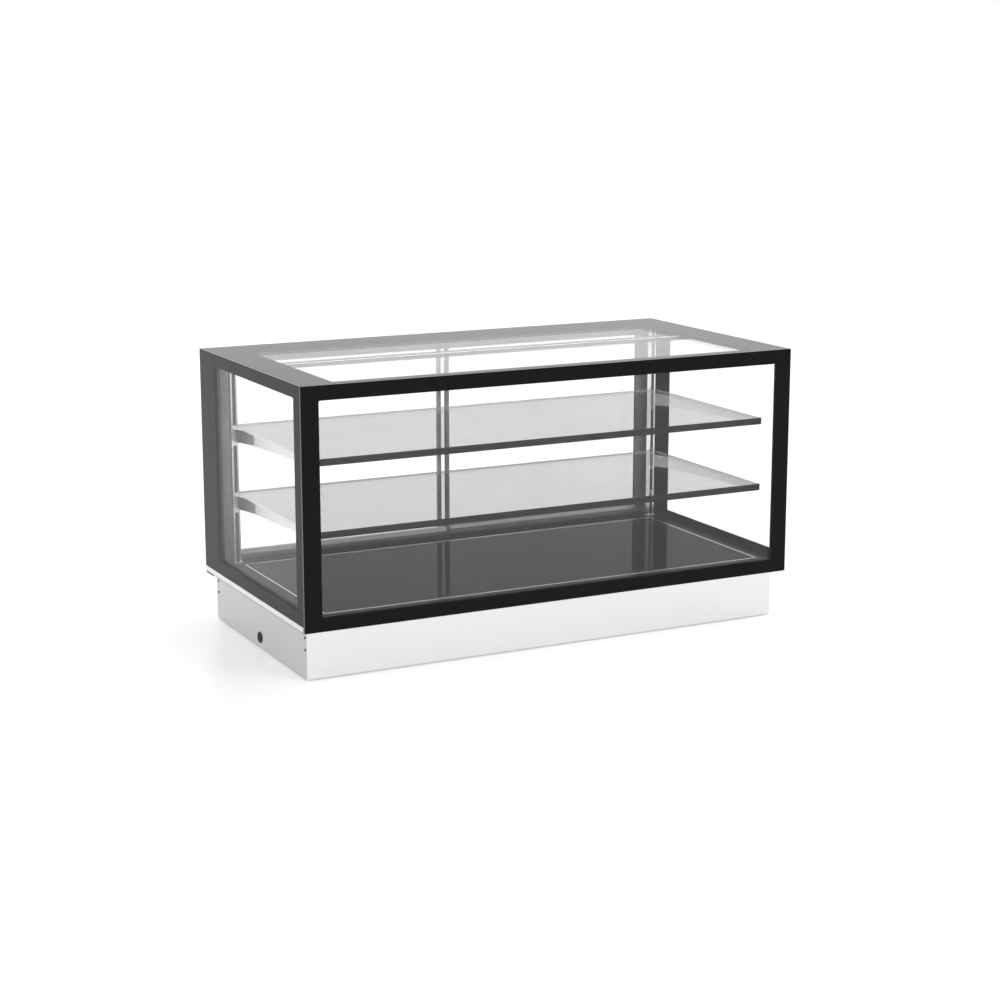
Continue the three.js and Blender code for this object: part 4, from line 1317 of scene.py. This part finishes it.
@dataclass
class Controls:
    """The control fascia: thermostat dial, rocker switches and pilot lamp."""

    ticks: int = 10
    sweep: float = math.radians(270)
    mark: float = 0.2 * MM
    flutes: int = 24
    flute_dip: float = 0.35 * MM
    knob_depth: float = 18 * MM
    knob_bore: tuple[float, float] = (3.3 * MM, 12 * MM)
    pointer_half: float = 1.1 * MM
    pointer_end: float = 3 * MM
    tick_half: float = 0.35 * MM
    tick_lengths: tuple[float, float] = (2.4 * MM, 3.5 * MM)
    pilot_radius: float = 4.5 * MM
    pilot_steps: int = 7
    screw_inset: float = 8 * MM
    face_y: float = field(init=False)

    def __post_init__(self) -> None:
        """Finds the fascia's outer face."""
        self.face_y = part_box("control_fascia")[1].y

    def build(self) -> None:
        """Makes and dresses the controls."""
        dress("control_fascia", BLACK_PLASTIC, 0.6 * MM)
        dress("thermostat_body", CREAM_PLASTIC, 0.4 * MM)
        dress("switch_housing", BLACK_PLASTIC, 0.35 * MM)
        dress("main_switch_rocker", BLACK_PLASTIC, 0.4 * MM)
        dress("light_switch_rocker", CREAM_PLASTIC, 0.4 * MM)
        self._knob()
        self._dial()
        self._pilot()
        self._fascia_screws()

    def _knob(self) -> None:
        """The fluted knob with its white pointer."""
        low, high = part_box("thermostat_knob")
        centre_x, centre_z = (low.x + high.x) / 2, (low.z + high.z) / 2
        back = low.y
        radius = (high.x - low.x) / 2
        depth = self.knob_depth
        grip = radius - 4 * MM
        bore, bore_depth = self.knob_bore
        profile = [
            (0.0, bore_depth), (bore, bore_depth), (bore, 0.0), (radius - 0.3 * MM, 0.0),
            (radius, 0.3 * MM), (radius, 2.6 * MM), (radius - 0.6 * MM, 3.2 * MM),
            (grip, 6 * MM), (grip - 1 * MM, depth - 1.5 * MM), (grip - 1.6 * MM, depth - 0.5 * MM),
            (grip - 2.5 * MM, depth), (0.0, depth)]
        form = Form().turned(profile, Axis.Y, (centre_x, back, centre_z), self.flutes * 4)
        self._flute(form, Vector((centre_x, back, centre_z)), grip)
        form.piece(
            "thermostat_knob_fluted", "black_plastic", (BLACK_PLASTIC,), "knob",
            ("thermostat_knob",), smooth=True)
        line = self.pointer_half
        end = self.pointer_end
        Form().block(
            (centre_x - line, back + depth - 0.2 * MM, centre_z + end),
            (centre_x + line, back + depth + self.mark * 2, centre_z + grip - end), 0.15 * MM,
        ).piece("thermostat_pointer", "white_plastic", (WHITE_MARK,), "knob")

    def _flute(self, form: Form, centre: Vector, grip: float) -> None:
        """Presses shallow flutes into the knob's grip.

        Args:
            form: the knob.
            centre: the middle of its back.
            grip: the grip's radius.
        """
        for vert in form.mesh.verts:
            away = vert.co - centre
            radius = math.hypot(away.x, away.z)
            on_grip = away.y > 5 * MM and abs(radius - grip) < 1.8 * MM
            if on_grip:
                angle = math.atan2(away.z, away.x)
                dip = self.flute_dip * (0.5 + 0.5 * math.cos(angle * self.flutes))
                scale = (radius - dip) / radius
                vert.co.x = centre.x + away.x * scale
                vert.co.z = centre.z + away.z * scale

    def _dial(self) -> None:
        """Plain ticks round the knob, longer at both ends of its travel."""
        low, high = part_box("thermostat_knob")
        centre = Vector(((low.x + high.x) / 2, self.face_y, (low.z + high.z) / 2))
        inner = (high.x - low.x) / 2 + 2 * MM
        short, long = self.tick_lengths
        half = self.tick_half
        form = Form()
        for index in range(self.ticks):
            angle = math.pi / 2 + self.sweep * index / (self.ticks - 1)
            length = long if index in (0, self.ticks - 1) else short
            part = Form().block(
                (inner, 0.0, -half), (inner + length, self.mark, half), 0.05 * MM, 1)
            turn = Matrix.Translation(centre) @ Matrix.Rotation(-angle, 4, "Y")
            bmesh.ops.transform(part.mesh, matrix=turn, verts=part.mesh.verts)
            form.take(part.mesh)
        form.piece("thermostat_dial_marks", "white_plastic", (WHITE_MARK,))

    def _pilot(self) -> None:
        """The round pilot lamp between the knob and the switches."""
        knob_low, knob_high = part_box("thermostat_knob")
        _, switch_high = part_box("switch_housing")
        x = (knob_low.x + switch_high.x) / 2
        z = (knob_low.z + knob_high.z) / 2
        radius = self.pilot_radius
        dome = []
        for step in range(self.pilot_steps):
            angle = step * math.pi / 2 / self.pilot_steps
            dome.append((radius * math.cos(angle), 0.6 * MM + 2.2 * MM * math.sin(angle)))
        profile = [(0.0, 0.0), (radius, 0.0), *dome, (0.0, 2.8 * MM)]
        Form().turned(profile, Axis.Y, (x, self.face_y, z), 32).piece(
            "pilot_lamp", "frosted_lens", (PILOT,), smooth=True)
        bezel = [
            (radius + 0.1 * MM, 0.0), (radius + 2 * MM, 0.0), (radius + 2 * MM, 0.8 * MM),
            (radius + 1.4 * MM, 1.2 * MM), (radius + 0.1 * MM, 1.2 * MM), (radius + 0.1 * MM, 0.0)]
        Form().turned(bezel, Axis.Y, (x, self.face_y, z), 40).piece(
            "pilot_bezel", "anodised", (anodised(Grain.X),), smooth=True)

    def _fascia_screws(self) -> None:
        """Four screws in the fascia's corners."""
        low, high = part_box("control_fascia")
        inset = self.screw_inset
        screw = Screw(2.6 * MM, 1.2 * MM, 0.5 * MM)
        form = Form()
        for x in (low.x + inset, high.x - inset):
            for z in (low.z + inset, high.z - inset):
                form.take(screw.form(Axis.Y, (x, high.y, z)).mesh)
        form.piece("fascia_screws", "brushed_steel", (steel(Grain.Z),))


# ------------------------------------------------------------------ studio


@dataclass
class Studio:
    """The floor, the light and the camera."""

    floor_half: float = 30.0
    camera_place: tuple[float, float, float] = (-2.4187, -4.7673, 1.4749)
    camera_turn: tuple[float, float, float] = (77.763, 0.0, -27.036)
    lens: float = 75.57
    room: float = 1.0
    floor_glow: float = 0.17
    key_place: tuple[float, float, float] = (1.6, -3.4, 2.6)
    key_aim: tuple[float, float, float] = (0.0, 0.0, 0.2)
    key_size: float = 2.0
    key_power: float = 34.0

    def build(self) -> None:
        """Sets up the floor, the light and the camera."""
        self._camera()
        self._floor()
        self._room()
        self._softbox()
        scene = bpy.context.scene
        scene.view_settings.view_transform = "Standard"
        scene.cycles.max_bounces = 16
        scene.cycles.transparent_max_bounces = 48
        scene.cycles.use_denoising = True
        scene.cycles.denoising_input_passes = "RGB"

    def _camera(self) -> None:
        """The camera, at the customer's left."""
        data = bpy.data.cameras.new("camera")
        data.lens = self.lens
        data.sensor_width = 36.0
        camera = bpy.data.objects.new("camera", data)
        camera.location = self.camera_place
        camera.rotation_euler = [math.radians(part) for part in self.camera_turn]
        bpy.context.scene.collection.objects.link(camera)
        bpy.context.scene.camera = camera

    def _floor(self) -> None:
        """A plain pale floor."""
        sheet = bmesh.new()
        bmesh.ops.create_grid(sheet, x_segments=1, y_segments=1, size=self.floor_half)
        data = bpy.data.meshes.new("floor")
        sheet.to_mesh(data)
        sheet.free()
        floor = bpy.data.objects.new("floor", data)
        bpy.context.scene.collection.objects.link(floor)
        graph = Graph("pale_floor")
        data.materials.append(graph.finish(graph.node("BsdfPrincipled", None, {
            "Base Color": (0.96, 0.96, 0.96, 1.0), "Roughness": 0.28,
            "Emission Color": (1.0, 1.0, 1.0, 1.0), "Emission Strength": self.floor_glow,
        })))

    def _room(self) -> None:
        """Even light from all round."""
        world = bpy.data.worlds.new("room")
        bpy.context.scene.world = world
        world.use_nodes = True
        background = world.node_tree.nodes["Background"]
        background.inputs["Color"].default_value = (1.0, 1.0, 1.0, 1.0)
        background.inputs["Strength"].default_value = self.room

    def _softbox(self) -> None:
        """A large square soft light in front of the case, above and to its right."""
        data = bpy.data.lights.new("key_softbox", "AREA")
        data.size = self.key_size
        data.energy = self.key_power
        light = bpy.data.objects.new("key_softbox", data)
        light.location = self.key_place
        towards = Vector(self.key_aim) - Vector(self.key_place)
        light.rotation_euler = towards.to_track_quat("-Z", "Y").to_euler()
        bpy.context.scene.collection.objects.link(light)


# ------------------------------------------------------------------ the case


def main() -> None:
    """Builds the studio and then the case, piece by piece."""
    logging.basicConfig(level=logging.INFO, format="%(message)s")
    Studio().build()
    GlassShell().build()
    RearFrame().build()
    for side, sign in SIDES:
        SlidingDoor(side, sign).build()
    for level in ("upper", "lower"):
        Shelf(level).build()
    CeilingLight().build()
    HeatedDeck().build()
    Plinth().build()
    Controls().build()


if __name__ == "__main__":
    main()
